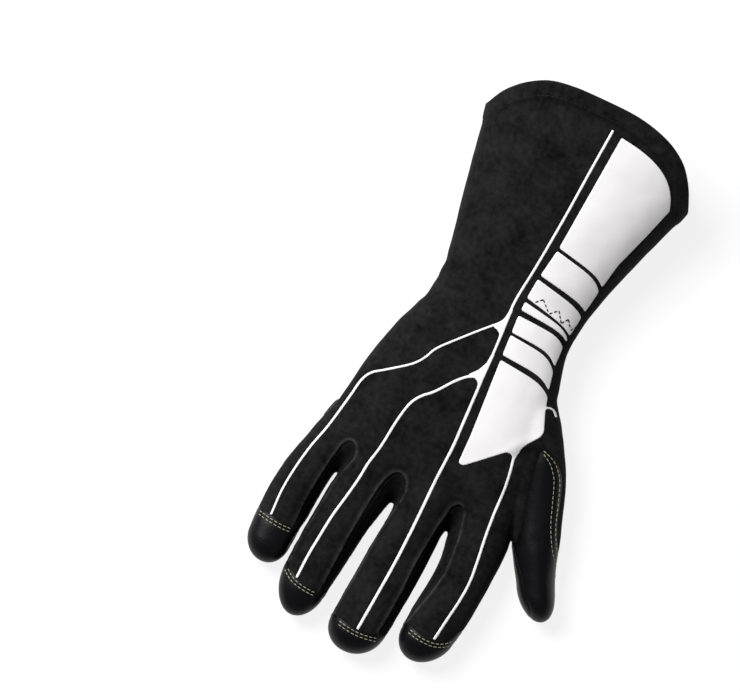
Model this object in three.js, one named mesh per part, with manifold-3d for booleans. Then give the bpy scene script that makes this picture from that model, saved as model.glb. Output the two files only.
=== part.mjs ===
// A right-hand racing glove with a gauntlet cuff, lying palm down as if a hand filled it.
// Millimetres. +Z is up, +Y runs from the cuff to the fingertips and +X to the little finger's side,
// so the thumb is at -X. The origin is the middle of the underside of the whole glove's box.
// The glove is a hollow shell: one outer form less the same form drawn in by the wall's thickness.
// Its panels are cut from that shell along their seams. Outlines seen from above are [x, y] points.

import * as THREE from "three";
import { mergeVertices } from "three/addons/utils/BufferGeometryUtils.js";
import Module from "manifold-3d";

const wasm = await Module();
wasm.setup();

// Driving sizes
const WALL = 2.0; // cloth or leather with its lining
const GAP = 0.3; // between neighbouring pieces
const PATCH = 1.2; // leather reinforcement under the palm
const PRINT = 0.5; // raised white print
const HEM_DEPTH = 9; // turned-up hem round the cuff's edge
const HEM_EXTRA = 0.8; // the hem's second layer of cloth
const PATCH_BELOW_SEAM = 6; // palm patches stop this far under the side seam
const PRINT_ABOVE_SEAM = 1;
const WRIST_SEAM_Y = -18; // cuff cloth meets palm leather
const GATHER = { middleY: -22, reach: 17, depth: 0.8 }; // puckers that the wrist's elastic draws in
const FAR = 150; // past every face of the glove

// How finely the outer and the inner faces are divided
const OUTER = { bodySides: 32, bodyStep: 1, digitSides: 16, digitSteps: 6, tipSteps: 4 };
const INNER = { bodySides: 16, bodyStep: 2, digitSides: 10, digitSteps: 4, tipSteps: 3 };

// Hand and cuff, a row for each section. Each section is a superellipse from the thumb's side to
// the little finger's side and from under to top, cut off flat where it rests.
const BODY = [
  { y: -150, thumb: -82, little: 65, top: 68, under: -8, round: 2.3 },
  { y: -100, thumb: -63.8, little: 53.4, top: 58.5, under: -7, round: 2.3 },
  { y: -60, thumb: -49.4, little: 46.4, top: 50.5, under: -5, round: 2.3 },
  { y: -38, thumb: -42.6, little: 42, top: 45.5, under: -1, round: 2.3 },
  { y: -22, thumb: -39.1, little: 40, top: 42, under: 1.5, round: 2.3 },
  { y: -8, thumb: -38.1, little: 41, top: 42, under: 0, round: 2.4 },
  { y: 15, thumb: -43, little: 49, top: 41.5, under: -4, round: 2.5 },
  { y: 40, thumb: -49, little: 55.6, top: 38.5, under: -5, round: 2.6 },
  { y: 65, thumb: -51, little: 59.8, top: 34, under: -5, round: 2.6 },
  { y: 85, thumb: -51, little: 62, top: 29, under: -4, round: 2.5 },
  { y: 95, thumb: -50, little: 63, top: 23, under: -1, round: 2.3 },
  { y: 100, thumb: -49, little: 62, top: 18.5, under: 2, round: 2.2 },
  { y: 102.5, thumb: -47, little: 60, top: 14.5, under: 6, round: 2 },
];
// The knuckles' row slants back towards the little finger.
const KNUCKLE_SLANT = { fromY: 60, toY: 100, perMm: 0.1 };
const BODY_STATIONS = [
  -150, -100, -60, -48, -38, -30, -22, -15, -8, 3, 15, 28, 40, 57, 73, 86, 95, 100, 102.5,
];

// Thumb and fingers, a row for each section, ending in a rounded tip
const DIGITS = {
  thumb: {
    tip: { y: 126.4, x: -81.8, length: 14.4 },
    rows: [
      { y: 8, x: -22.2, half: 14.4, top: 33, under: -2 },
      { y: 20, x: -29.2, half: 16.3, top: 34, under: -2 },
      { y: 30, x: -35.2, half: 17.5, top: 34, under: -2 },
      { y: 48, x: -46, half: 17, top: 31.5, under: -1 },
      { y: 65, x: -54.5, half: 15.4, top: 28.5, under: 0 },
      { y: 80, x: -60.6, half: 14.7, top: 26.5, under: 0.5 },
      { y: 95, x: -66.9, half: 12.9, top: 24.5, under: 1 },
      { y: 105, x: -71.6, half: 11.7, top: 23, under: 0.5 },
      { y: 112, x: -75.4, half: 10.9, top: 22, under: 0 },
    ],
  },
  index: {
    tip: { y: 172.2, x: -31.8, length: 16.5 },
    rows: [
      { y: 70, x: -35, half: 14.5, top: 27, under: -2 },
      { y: 84, x: -35.9, half: 15.8, top: 28, under: -1 },
      { y: 95, x: -36.4, half: 16.2, top: 27.5, under: 0 },
      { y: 105, x: -36.9, half: 15.7, top: 26.6, under: 1 },
      { y: 119, x: -37.7, half: 14.5, top: 25.8, under: 1.8 },
      { y: 130, x: -37.1, half: 14.5, top: 25.5, under: 2.2 },
      { y: 147, x: -35.5, half: 14.3, top: 23.5, under: 0.5 },
      { y: 155.7, x: -34.3, half: 13.9, top: 22.5, under: 0 },
    ],
  },
  middle: {
    tip: { y: 182.4, x: 2, length: 15.1 },
    rows: [
      { y: 70, x: -4.5, half: 14.5, top: 28, under: -2 },
      { y: 84, x: -4.6, half: 15.6, top: 29, under: -1 },
      { y: 97, x: -4.5, half: 15.4, top: 28.5, under: 0 },
      { y: 108, x: -4.1, half: 14.9, top: 27.2, under: 1.2 },
      { y: 119, x: -3.4, half: 15.2, top: 26.5, under: 2 },
      { y: 132, x: -2.3, half: 15.7, top: 26, under: 2.5 },
      { y: 150, x: -0.7, half: 15.4, top: 24.2, under: 1.1 },
      { y: 167.3, x: 0.8, half: 15.1, top: 22.5, under: 0 },
    ],
  },
  ring: {
    tip: { y: 176.9, x: 35.4, length: 22 },
    rows: [
      { y: 70, x: 26.5, half: 14.5, top: 27, under: -2 },
      { y: 84, x: 27.3, half: 15.6, top: 28, under: -1 },
      { y: 98, x: 28.1, half: 16, top: 27.5, under: 0.3 },
      { y: 108, x: 30, half: 15.6, top: 26.8, under: 1.4 },
      { y: 120, x: 31.9, half: 14.7, top: 26, under: 2 },
      { y: 137, x: 34, half: 14.2, top: 25, under: 2 },
      { y: 154.9, x: 35.9, half: 13.5, top: 22.5, under: 0 },
    ],
  },
  little: {
    tip: { y: 158.3, x: 61, length: 13.5 },
    rows: [
      { y: 66, x: 51, half: 9, top: 23, under: -2 },
      { y: 82, x: 53.6, half: 11.6, top: 24.5, under: -0.5 },
      { y: 98, x: 57.6, half: 12.2, top: 24, under: 0.5 },
      { y: 105, x: 59.2, half: 12.3, top: 23.3, under: 1.1 },
      { y: 119, x: 61, half: 12.6, top: 22, under: 1.5 },
      { y: 135, x: 62, half: 12.3, top: 20.7, under: 0.8 },
      { y: 144.8, x: 62.2, half: 11.7, top: 19.5, under: 0 },
    ],
  },
};
const DIGIT_ROUND = 2.3;
const TIP_BLUNTNESS = 0.35; // the last ring of a tip stops this share of a step before its end

// The palm stands on its patches, up to the fingers' first joint. The cuff and the fingertips
// stand on the floor.
const PALM_STAND = { fromY: -26, fullFromY: -8, fullToY: 114, toY: 128 };

// Height of the side seam between back and palm, which runs round both sides
const SIDE_SEAM = [
  { y: -160, height: 27 },
  { y: -100, height: 22.5 },
  { y: -60, height: 20 },
  { y: -30, height: 19 },
  { y: -8, height: 18.5 },
  { y: 15, height: 17.5 },
  { y: 40, height: 16.5 },
  { y: 65, height: 14.5 },
  { y: 85, height: 12.2 },
  { y: 100, height: 10.8 },
  { y: 200, height: 9.5 },
];

// The hem's line: nearly straight across the back, with rounded corners
const HEM_LINE = [
  [-84, -56], [-72, -83], [-65.5, -98.5], [-62, -106.4], [-58, -113.3], [-52, -120.8], [-44, -126.5],
  [-35, -130.4], [-20, -133.7], [0, -134.5], [20, -133.8], [31, -131.6], [40, -126.9], [46, -122.3],
  [51, -116.7], [55.5, -109], [60, -98.5], [68, -78],
];

// Finger gussets, from the seam on the little finger's side round the crotch to the thumb's side
const GUSSETS = {
  gusset_little_ring: [
    [54, 150], [52.9, 133], [52.6, 117], [50.4, 99], [49, 90.5], [47.4, 84.2], [45, 81.8], [42.2, 82.8],
    [40.6, 86], [40.4, 91], [41.6, 95], [43.6, 103], [45, 115], [46.4, 128], [47.6, 140], [48, 150],
  ],
  gusset_ring_middle: [
    [26.5, 166], [25, 139], [23.9, 123], [20.3, 94.5], [17.4, 87.8], [15, 86.2],
    [12, 87.2], [9.6, 91], [8.8, 97], [9.8, 105], [12.4, 129], [14, 150], [15.2, 166],
  ],
  gusset_middle_index: [
    [-10.6, 166], [-12.8, 141], [-13.2, 124], [-16.3, 97], [-18, 90.4], [-20.4, 88],
    [-22.8, 89.6], [-24.6, 94], [-27.6, 119], [-26.4, 131], [-20.6, 157], [-19.5, 166],
  ],
};

// Where the palm leather that wraps over each fingertip ends on the back
const TIP_WRAPS = {
  index: [
    [-55, 143.8], [-49, 146.6], [-46, 152], [-40.7, 155.8], [-32.4, 156.6], [-23.4, 154.8], [-17.5, 151.8],
  ],
  middle: [[-19, 164.3], [-12, 167.4], [0, 169.2], [12.1, 167.4], [19.5, 164.8]],
  ring: [[20.5, 158.8], [27.7, 159.8], [40.3, 158.2], [47.3, 153.3], [54, 146.8]],
  little: [[49.5, 134.4], [57, 135.1], [65, 134.6], [74, 132.8], [79, 131.3]],
};

// On the thumb's back: its leather panel, and the strip of palm leather beside it that faces the
// index finger. Under the thumb: the back's cloth, which comes round its outer side.
const THUMB_LEATHER = [
  [-47, 46], [-50, 44.6], [-55, 46.3], [-61.4, 53], [-66.3, 65], [-70.6, 77], [-76, 87.5], [-83, 95],
  [-100, 100], [-100, 135], [-81, 135], [-77.5, 122.5], [-71.5, 117], [-64, 107.5], [-57, 98.5],
  [-54.8, 93], [-53.4, 82], [-51.4, 72], [-49.4, 62], [-48, 54],
];
const THUMB_INNER_STRIP = [
  [-54.8, 93], [-57, 98.5], [-64, 107.5], [-71.5, 117], [-77.5, 122.5], [-79.5, 132], [-52, 132], [-53.4, 94],
];
const THUMB_OUTER_UNDER = [
  [-25, WRIST_SEAM_Y], [-22, -6], [-22.5, 8], [-27, 20], [-33.5, 31], [-42, 44], [-50, 60], [-57.5, 77],
  [-64, 91], [-70.5, 102], [-84, 96.5], [-100, 92], [-100, WRIST_SEAM_Y],
];

// Palm patches. The heel patch is a wedge that widens to the little finger's side.
const HEEL_EDGE = [
  [-27, 63], [-24, 54], [-20.5, 44.5], [-16, 40.4], [1, 31], [16, 24.6], [35, 18.8], [52, 12.4], [70, 5],
];
const GRIP_EDGE = [
  [-44.6, 66.5], [-26.5, 66.4], [-10, 64], [3, 62.2], [22, 59.6], [42, 56.6], [70, 51],
];
const KNUCKLE_EDGE = [
  [-46.6, 90], [-37.5, 88.2], [-21.5, 88], [-9.6, 85.2], [2.6, 82.6], [15.4, 81], [45, 78.6], [70, 75],
];
const GRIP_THUMB_END = [[-48.2, 80.6], [-47, 73]];
// The knuckle patch steps out on to each finger and back between them.
const FINGER_TABS = [
  { from: -48.4, to: -29.6, out: 106.8, between: 93 },
  { from: -12.3, to: 1.4, out: 107, between: 92.2 },
  { from: 17.2, to: 30.2, out: 106.8, between: 88.2 },
  { from: 46.4, to: 60.4, out: 102, between: 88.2 },
];
const TAB_CORNER = 2.7;
const TAB_RISE = 6; // the tab's side turns in this far past the dip
const DIP = { from: 3, middle: 6.5, to: 10.5, depth: 1 };
const KNUCKLE_EDGE_OUTER = [70, 92];

// White print: the side panel's inner and outer edges, and its blocks from the cuff to the hand.
// Each block's ends curve towards the fingers by a rise at the panel's outer edge.
const PANEL_EDGE = [
  { y: -121, inner: -15.9, outer: -60 },
  { y: -96, inner: -13.8, outer: -54.4 },
  { y: -80, inner: -12.8, outer: -49.3 },
  { y: -60, inner: -11.3, outer: -42.3 },
  { y: -45, inner: -9.2, outer: -39.4 },
  { y: -29, inner: -6.7, outer: -36.8 },
  { y: -16, inner: -6.4, outer: -35 },
  { y: -5, inner: -6.9, outer: -34.2 },
  { y: 3, inner: -7.3, outer: -34.9 },
  { y: 15, inner: -8, outer: -37.4 },
  { y: 36, inner: -9.5, outer: -44.8 },
];
// An end of a block: y at the panel's inner edge, its even rise to the outer edge, and a rise that sets in late
const CUFF_BLOCK = {
  from: -120.5,
  to: [-55.1, 5.9, 3.2],
  corner: [[-28, -118.6], [-38.7, -115.2], [-46.4, -110.4], [-51.6, -104.2], [-54.6, -97]],
};
const WRIST_BLOCKS = [
  { name: "side_block_2", from: [-53.3, 5.9, 4.2], to: [-38.1, 5.1, 2.2] },
  { name: "side_block_3", from: [-35.8, 5.9, 2.5], to: [-24.6, 6.2, 2.4] },
  { name: "side_block_4", from: [-22.4, 4.8, 3.5], to: [-17.6, 2.2, 2.8] },
  { name: "side_block_5", from: [-14.5, 1.4, 4], to: [-5, 1.7, 5.1] },
  { name: "side_block_6", from: [-3.6, 2.5, 5.5], to: [7.7, 2, 4.6] },
];
const HAND_BLOCK = {
  from: [10.3, 2.9, 4.3],
  arrow: [
    [-40.2, 25], [-44.2, 35.2], [-43.4, 38.4], [-39.2, 43.8], [-36.6, 48.6], [-34.6, 52.4], [-31, 52.4],
    [-13.4, 68.4], [-10.4, 68.2],
  ],
};
const BLOCK_END_SHARES = [0, 0.45, 0.75, 0.9, 1];
const LATE_RISE = 7; // power of the share across the panel

// Centre lines of the printed stripes, from the wrist to the fingertips
const STRIPES = {
  long: [
    [-10.2, -121.6], [-8.6, -100], [-6.6, -70], [-3.9, -40], [-1.8, -22], [-1.7, -14], [-2.6, 0], [-3.5, 32],
  ],
  middle: [[-3.4, 27], [-4.2, 54], [-3.6, 92], [-3.2, 115], [-1.5, 145], [0.4, 168.3]],
  ring: [
    [-2.4, 21.6], [0.6, 23.4], [4.2, 25.6], [9, 30.3], [21.8, 45], [25, 50], [27.5, 60], [29.4, 76],
    [32, 88], [35.2, 110], [37.2, 120], [39, 135], [40.5, 157.3],
  ],
  little: [
    [-1.7, -9.4], [7.6, 0.2], [25.2, 19.6], [28.2, 25.4], [32, 30.6], [44, 40], [50.4, 44.8], [53.2, 49.6],
    [55.2, 60], [62.6, 92], [65.2, 104.6], [66.7, 119], [66.5, 133],
  ],
  index: [[-35.6, 50], [-36.8, 60], [-38.6, 84], [-41.4, 112], [-42.1, 122], [-40, 143], [-38.1, 155.4]],
  thumb: [[-39, 23.6], [-41.4, 22.4], [-44, 22.6], [-46.4, 24.8]],
};
const STRIPE_WIDTHS = { long: 1.35, middle: 1.55, ring: 1.35, little: 1.1, index: 1.4, thumb: 1 };
// Webs of print that fill the corners where stripes part
const STRIPE_WEBS = {
  little: [
    [-2.5, -20], [-0.9, -19.6], [0.6, -11.6], [4.8, -3.4], [6.2, 0.6], [0.6, -1.4], [-1.4, 2], [-3.3, 3],
  ],
  ring: [[-3.8, 6], [-2, 6], [-1, 13], [3.2, 23], [5, 27.2], [-0.8, 25.4], [-2.4, 30], [-4, 31]],
};

// Finishes
const finish = (name, color, roughness) =>
  new THREE.MeshStandardMaterial({ name, color, roughness, metalness: 0 });
const BRUSHED_CLOTH = finish("brushed_cloth", 0x17171a, 0.92);
const CUFF_CLOTH = finish("cuff_cloth", 0x191b24, 0.88);
const LEATHER = finish("leather", 0x121217, 0.42);
const WHITE_PRINT = finish("white_print", 0xeae6ec, 0.5);

// Solids from geometry, and meshes from solids

function solidOf(geometry) {
  const bare = geometry.clone();
  bare.deleteAttribute("normal");
  bare.deleteAttribute("uv");
  const merged = mergeVertices(bare, 1e-4);
  return new wasm.Manifold(
    new wasm.Mesh({
      numProp: 3,
      vertProperties: new Float32Array(merged.attributes.position.array),
      triVerts: new Uint32Array(merged.index.array),
    }),
  );
}

function meshOf(name, solid, material) {
  const { numProp, vertProperties, triVerts } = solid.getMesh();
  const positions = new Float32Array((vertProperties.length / numProp) * 3);
  for (let i = 0; i < positions.length / 3; i++)
    positions.set(vertProperties.subarray(i * numProp, i * numProp + 3), i * 3);
  const geometry = new THREE.BufferGeometry();
  geometry.setAttribute("position", new THREE.BufferAttribute(positions, 3));
  geometry.setIndex(new THREE.BufferAttribute(new Uint32Array(triVerts), 1));
  geometry.computeVertexNormals();
  const mesh = new THREE.Mesh(geometry, material);
  mesh.name = name;
  return mesh;
}

const union = (solids) => solids.reduce((all, one) => all.add(one));

// A closed body through rings of points that all have the same count, with flat ends
function loft(rings) {
  const sides = rings[0].length;
  const middle = (ring) =>
    ring.reduce((sum, p) => sum.add(p), new THREE.Vector3()).divideScalar(sides);
  const points = [...rings.flat(), middle(rings[0]), middle(rings[rings.length - 1])];
  const startMiddle = points.length - 2;
  const endMiddle = points.length - 1;
  const lastRing = (rings.length - 1) * sides;
  const triangles = [];
  for (let i = 0; i < sides; i++) {
    const next = (i + 1) % sides;
    for (let r = 0; r < rings.length - 1; r++) {
      const here = r * sides;
      const there = here + sides;
      triangles.push(here + i, there + i, there + next, here + i, there + next, here + next);
    }
    triangles.push(startMiddle, i, next, endMiddle, lastRing + next, lastRing + i);
  }
  const geometry = new THREE.BufferGeometry().setFromPoints(points);
  geometry.setIndex(triangles);
  return solidOf(geometry);
}

// An upright prism over an outline seen from above, through the whole glove
function prism(outline) {
  const shape = new THREE.Shape(outline.map(([x, y]) => new THREE.Vector2(x, y)));
  const geometry = new THREE.ExtrudeGeometry(shape, { depth: 2 * FAR, bevelEnabled: false });
  return solidOf(geometry.translate(0, 0, -FAR));
}

// A table's columns at y, on a smooth curve through its rows that never overshoots them
function rowAt(rows, y) {
  const last = rows.length - 1;
  const next = rows.findIndex((row) => row.y > y);
  const k = next < 0 ? last - 1 : Math.max(0, next - 1);
  const step = rows[k + 1].y - rows[k].y;
  const t = THREE.MathUtils.clamp((y - rows[k].y) / step, 0, 1);
  const found = { y };
  for (const key of Object.keys(rows[0]).filter((name) => name !== "y")) {
    const slope = (a) => (rows[a + 1][key] - rows[a][key]) / (rows[a + 1].y - rows[a].y);
    const tangent = (a) => {
      if (a === 0 || a === last) return slope(Math.min(a, last - 1));
      const before = slope(a - 1);
      const after = slope(a);
      return before * after <= 0 ? 0 : (2 * before * after) / (before + after);
    };
    found[key] =
      rows[k][key] * (2 * t ** 3 - 3 * t ** 2 + 1) +
      rows[k + 1][key] * (3 * t ** 2 - 2 * t ** 3) +
      tangent(k) * step * (t ** 3 - 2 * t ** 2 + t) +
      tangent(k + 1) * step * (t ** 3 - t ** 2);
  }
  return found;
}

// The glove's form, drawn out by grow

// Height that the underside rests at
function restAt(y, grow) {
  const { fromY, fullFromY, fullToY, toY } = PALM_STAND;
  const share = Math.min((y - fromY) / (fullFromY - fromY), (toY - y) / (toY - fullToY));
  return Math.max(0, (PATCH + GAP) * THREE.MathUtils.clamp(share, 0, 1) - grow);
}

// One section, as a ring that starts at the little finger's side and goes over the top
function section({ y, x, half, top, under, round }, sides, grow, ripple = () => 0) {
  const middleZ = (top + under) / 2;
  const bend = (value) => Math.sign(value) * Math.abs(value) ** (2 / round);
  return Array.from({ length: sides }, (_, i) => {
    const angle = ((i + 0.5) / sides) * 2 * Math.PI;
    const out = grow + ripple(i, angle);
    const z = middleZ + ((top - under) / 2 + out) * bend(Math.sin(angle));
    return new THREE.Vector3(x + (half + out) * bend(Math.cos(angle)), y, Math.max(z, restAt(y, grow)));
  });
}

// The wrist's puckers, on the palm's side and the little finger's side
function gatherAt(y) {
  const share = Math.max(0, 1 - Math.abs(y - GATHER.middleY) / GATHER.reach);
  return (i, angle) => {
    const puckered = Math.sin(angle) < 0 || Math.cos(angle) > 0.5;
    return puckered ? GATHER.depth * share * (i % 2 ? 1 : -1) : 0;
  };
}

function slantAt({ x, y }) {
  const share = THREE.MathUtils.smoothstep(y, KNUCKLE_SLANT.fromY, KNUCKLE_SLANT.toY);
  return KNUCKLE_SLANT.perMm * Math.max(0, x) * share;
}

function bodyForm(grow, detail) {
  const stations = BODY_STATIONS.filter((_, i) => i % detail.bodyStep === 0);
  const foremost = BODY_STATIONS[BODY_STATIONS.length - 1];
  const rings = stations.map((y) => {
    const { thumb, little, ...row } = rowAt(BODY, y);
    const ring = { ...row, x: (thumb + little) / 2, half: (little - thumb) / 2 };
    ring.y = y === foremost ? y + grow : y;
    const points = section(ring, detail.bodySides, grow, detail === OUTER ? gatherAt(y) : undefined);
    points.forEach((p) => (p.y -= slantAt(p)));
    return points;
  });
  return loft(rings);
}

function digitForm({ tip, rows }, grow, detail) {
  const start = rows[0];
  const shoulder = rows[rows.length - 1];
  const rings = [];
  for (let i = 0; i <= detail.digitSteps; i++) {
    const y = THREE.MathUtils.lerp(start.y, shoulder.y, i / detail.digitSteps);
    rings.push(section({ ...rowAt(rows, y), round: DIGIT_ROUND }, detail.digitSides, grow));
  }
  for (let i = 1; i <= detail.tipSteps; i++) {
    const angle = (i / (detail.tipSteps + TIP_BLUNTNESS)) * (Math.PI / 2);
    const along = Math.sin(angle);
    const across = Math.cos(angle);
    const middleZ = (shoulder.top + shoulder.under) / 2;
    const halfZ = ((shoulder.top - shoulder.under) / 2 + grow) * across;
    const ring = {
      y: shoulder.y + along * (tip.length + grow),
      x: THREE.MathUtils.lerp(shoulder.x, tip.x, along),
      half: (shoulder.half + grow) * across - grow,
      top: middleZ + halfZ - grow,
      under: middleZ - halfZ + grow,
      round: DIGIT_ROUND,
    };
    rings.push(section(ring, detail.digitSides, grow));
  }
  return loft(rings);
}

const formOf = (grow, detail = OUTER) =>
  union([bodyForm(grow, detail), ...Object.values(DIGITS).map((digit) => digitForm(digit, grow, detail))]);

const layerOf = (from, thickness) => formOf(from + thickness).subtract(formOf(from));

// Cutters

// Everything above the side seam's surface, moved up by shift
function aboveSeam(shift) {
  const rings = SIDE_SEAM.map(({ y, height }) => [
    new THREE.Vector3(-FAR, y, height + shift),
    new THREE.Vector3(FAR, y, height + shift),
    new THREE.Vector3(FAR, y, FAR),
    new THREE.Vector3(-FAR, y, FAR),
  ]);
  return loft(rings);
}

// A smooth line through points, moved to its left by out
function beside(points, out) {
  const line = new THREE.SplineCurve(points.map(([x, y]) => new THREE.Vector2(x, y)));
  return points.map(([x, y], i) => {
    const along = line.getTangent(i / (points.length - 1));
    return [x - along.y * out, y + along.x * out];
  });
}

// Everything on the fingers' side of the hem's line, or of a line that is set in from it
function beyondHem(inset) {
  const edge = beside(HEM_LINE, inset);
  const [, startY] = edge[0];
  const [, endY] = edge.at(-1);
  return prism([...edge, [FAR, endY], [FAR, 2 * FAR], [-FAR, 2 * FAR], [-FAR, startY]]);
}

// Everything on the fingers' side of a line straight across
const beyondLine = (y) => prism([[-FAR, y], [FAR, y], [FAR, 2 * FAR], [-FAR, 2 * FAR]]);

// An outline drawn out by grow on every side
function grown(outline, grow) {
  const turn = Math.sign(THREE.ShapeUtils.area(outline.map(([x, y]) => new THREE.Vector2(x, y))));
  return outline.map(([x, y], i) => {
    const [beforeX, beforeY] = outline.at(i - 1);
    const [afterX, afterY] = outline[(i + 1) % outline.length];
    const first = new THREE.Vector2(y - beforeY, beforeX - x).normalize();
    const second = new THREE.Vector2(afterY - y, x - afterX).normalize();
    const out = first.clone().add(second).normalize();
    const reach = (turn * grow) / Math.max(0.5, out.dot(first));
    return [x + out.x * reach, y + out.y * reach];
  });
}

const cutters = (outlines, grow) =>
  union(Object.values(outlines).map((outline) => prism(grow ? grown(outline, grow) : outline)));

// The area beyond each fingertip wrap's edge
const wrapOutlines = (grow) =>
  Object.values(TIP_WRAPS).map((edge) => {
    const [firstX] = edge[0];
    const [lastX] = edge.at(-1);
    return [...edge.map(([x, y]) => [x, y - grow]), [lastX, 2 * FAR], [firstX, 2 * FAR]];
  });

// The shell and its seams

const hemBand = bodyForm(HEM_EXTRA, OUTER).subtract(beyondHem(HEM_DEPTH));
const shell = formOf(0).add(hemBand).subtract(formOf(-WALL, INNER)).intersect(beyondHem(0));
const backArea = aboveSeam(GAP / 2);
const backAreaGrown = aboveSeam(-GAP / 2);
const thumbStrip = prism(THUMB_INNER_STRIP).intersect(aboveSeam(-GAP));

function backPanel() {
  return shell
    .intersect(backArea.add(prism(THUMB_OUTER_UNDER)))
    .subtract(cutters(wrapOutlines(GAP)))
    .subtract(cutters(GUSSETS, GAP))
    .subtract(prism(grown(THUMB_LEATHER, GAP)).intersect(backAreaGrown))
    .subtract(prism(grown(THUMB_INNER_STRIP, GAP)));
}

function cuffPalmPanel() {
  return shell.subtract(backAreaGrown).subtract(beyondLine(WRIST_SEAM_Y - GAP));
}

function palmLeather() {
  return shell
    .intersect(beyondLine(WRIST_SEAM_Y))
    .subtract(backAreaGrown.subtract(cutters(wrapOutlines(0))).subtract(thumbStrip))
    .subtract(prism(grown(THUMB_OUTER_UNDER, GAP)));
}

function thumbLeather() {
  return shell
    .intersect(backArea)
    .intersect(prism(THUMB_LEATHER))
    .subtract(prism(grown(THUMB_INNER_STRIP, GAP)));
}

function gusset(outline) {
  return shell.intersect(backArea).intersect(prism(outline)).subtract(cutters(wrapOutlines(GAP)));
}

// Leather patches, one layer further out than the palm leather

const patchLayer = layerOf(GAP, PATCH).subtract(aboveSeam(-PATCH_BELOW_SEAM));
const moved = (edge, dy) => edge.map(([x, y]) => [x, y + dy]);

function heelPatch() {
  const gripSide = moved(GRIP_EDGE, -GAP).filter(([x]) => x > HEEL_EDGE[0][0]);
  return patchLayer.intersect(prism([...HEEL_EDGE, ...gripSide.reverse()]));
}

function gripPatch() {
  const knuckleSide = moved(KNUCKLE_EDGE, -GAP).reverse();
  return patchLayer.intersect(prism([...GRIP_EDGE, ...knuckleSide, ...GRIP_THUMB_END]));
}

function knucklePatch() {
  const tab = ({ from, to, out, between }) => [
    [from, between + TAB_RISE],
    [from, out - TAB_CORNER],
    [from + TAB_CORNER, out],
    [to - TAB_CORNER, out],
    [to, out - TAB_CORNER],
    [to, between + TAB_RISE],
  ];
  const dip = ({ to, between }) => [
    [to + DIP.from, between + DIP.depth],
    [to + DIP.middle, between],
    [to + DIP.to, between + DIP.depth],
  ];
  const last = FINGER_TABS.length - 1;
  const fingerSide = FINGER_TABS.flatMap((one, i) => (i < last ? [...tab(one), ...dip(one)] : tab(one)));
  return patchLayer.intersect(prism([...KNUCKLE_EDGE, KNUCKLE_EDGE_OUTER, ...fingerSide.reverse()]));
}

// White print, lying on the back

const printLayer = layerOf(GAP, PRINT).intersect(aboveSeam(PRINT_ABOVE_SEAM));

// A block's end, from the panel's inner edge to its outer edge
const blockEnd = ([y, rise, lateRise]) =>
  BLOCK_END_SHARES.map((share) => {
    const up = y + rise * share + lateRise * share ** LATE_RISE;
    const { inner, outer } = rowAt(PANEL_EDGE, up);
    return [THREE.MathUtils.lerp(inner, outer, share), up];
  });

function cuffBlock() {
  const { from, to, corner } = CUFF_BLOCK;
  const [, cornerEnd] = corner.at(-1);
  const outerEdge = PANEL_EDGE.filter(({ y }) => y > cornerEnd && y < to[0]).map(({ y, outer }) => [outer, y]);
  const start = [rowAt(PANEL_EDGE, from).inner, from];
  return prism([start, ...corner, ...outerEdge, ...blockEnd(to).reverse()]);
}

const wristBlock = ({ from, to }) => prism([...blockEnd(from), ...blockEnd(to).reverse()]);

function stripe(name) {
  const halfWidth = STRIPE_WIDTHS[name] / 2;
  return prism([...beside(STRIPES[name], halfWidth), ...beside(STRIPES[name], -halfWidth).reverse()]);
}

function handBlock() {
  const { from, arrow } = HAND_BLOCK;
  const block = prism([...blockEnd(from), ...arrow]);
  return union([block, stripe("index"), stripe("thumb")]);
}

function fingerStripes() {
  const stripes = ["long", "middle", "ring", "little"].map(stripe);
  return union([...stripes, ...Object.values(STRIPE_WEBS).map(prism)]);
}

// The assembly

const parts = new THREE.Group();
parts.add(
  meshOf("back_panel", backPanel(), BRUSHED_CLOTH),
  meshOf("cuff_palm_panel", cuffPalmPanel(), CUFF_CLOTH),
  meshOf("palm_leather", palmLeather(), LEATHER),
  meshOf("thumb_leather", thumbLeather(), LEATHER),
  ...Object.entries(GUSSETS).map(([name, outline]) => meshOf(name, gusset(outline), BRUSHED_CLOTH)),
  meshOf("heel_patch", heelPatch(), LEATHER),
  meshOf("grip_patch", gripPatch(), LEATHER),
  meshOf("knuckle_patch", knucklePatch(), LEATHER),
  meshOf("side_block_1", printLayer.intersect(cuffBlock()), WHITE_PRINT),
  ...WRIST_BLOCKS.map((block) => meshOf(block.name, printLayer.intersect(wristBlock(block)), WHITE_PRINT)),
  meshOf("side_block_7", printLayer.intersect(handBlock()), WHITE_PRINT),
  meshOf("finger_stripes", printLayer.intersect(fingerStripes()), WHITE_PRINT),
);

// The middle of the underside of the whole box goes to the origin.
const box = new THREE.Box3().setFromObject(parts);
parts.position.set(-(box.min.x + box.max.x) / 2, -(box.min.y + box.max.y) / 2, -box.min.z);

const glove = new THREE.Group();
glove.add(parts);
export default glove;
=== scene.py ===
"""A right-hand racing glove lying palm down: its cloth, leather, print and stitching.

The modelled frame gives the sizes. The tables below hold the glove's form and its seams in
millimetres, with the zero between wrist and thumb, +Y to the fingertips and the thumb at -X.
"""

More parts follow.
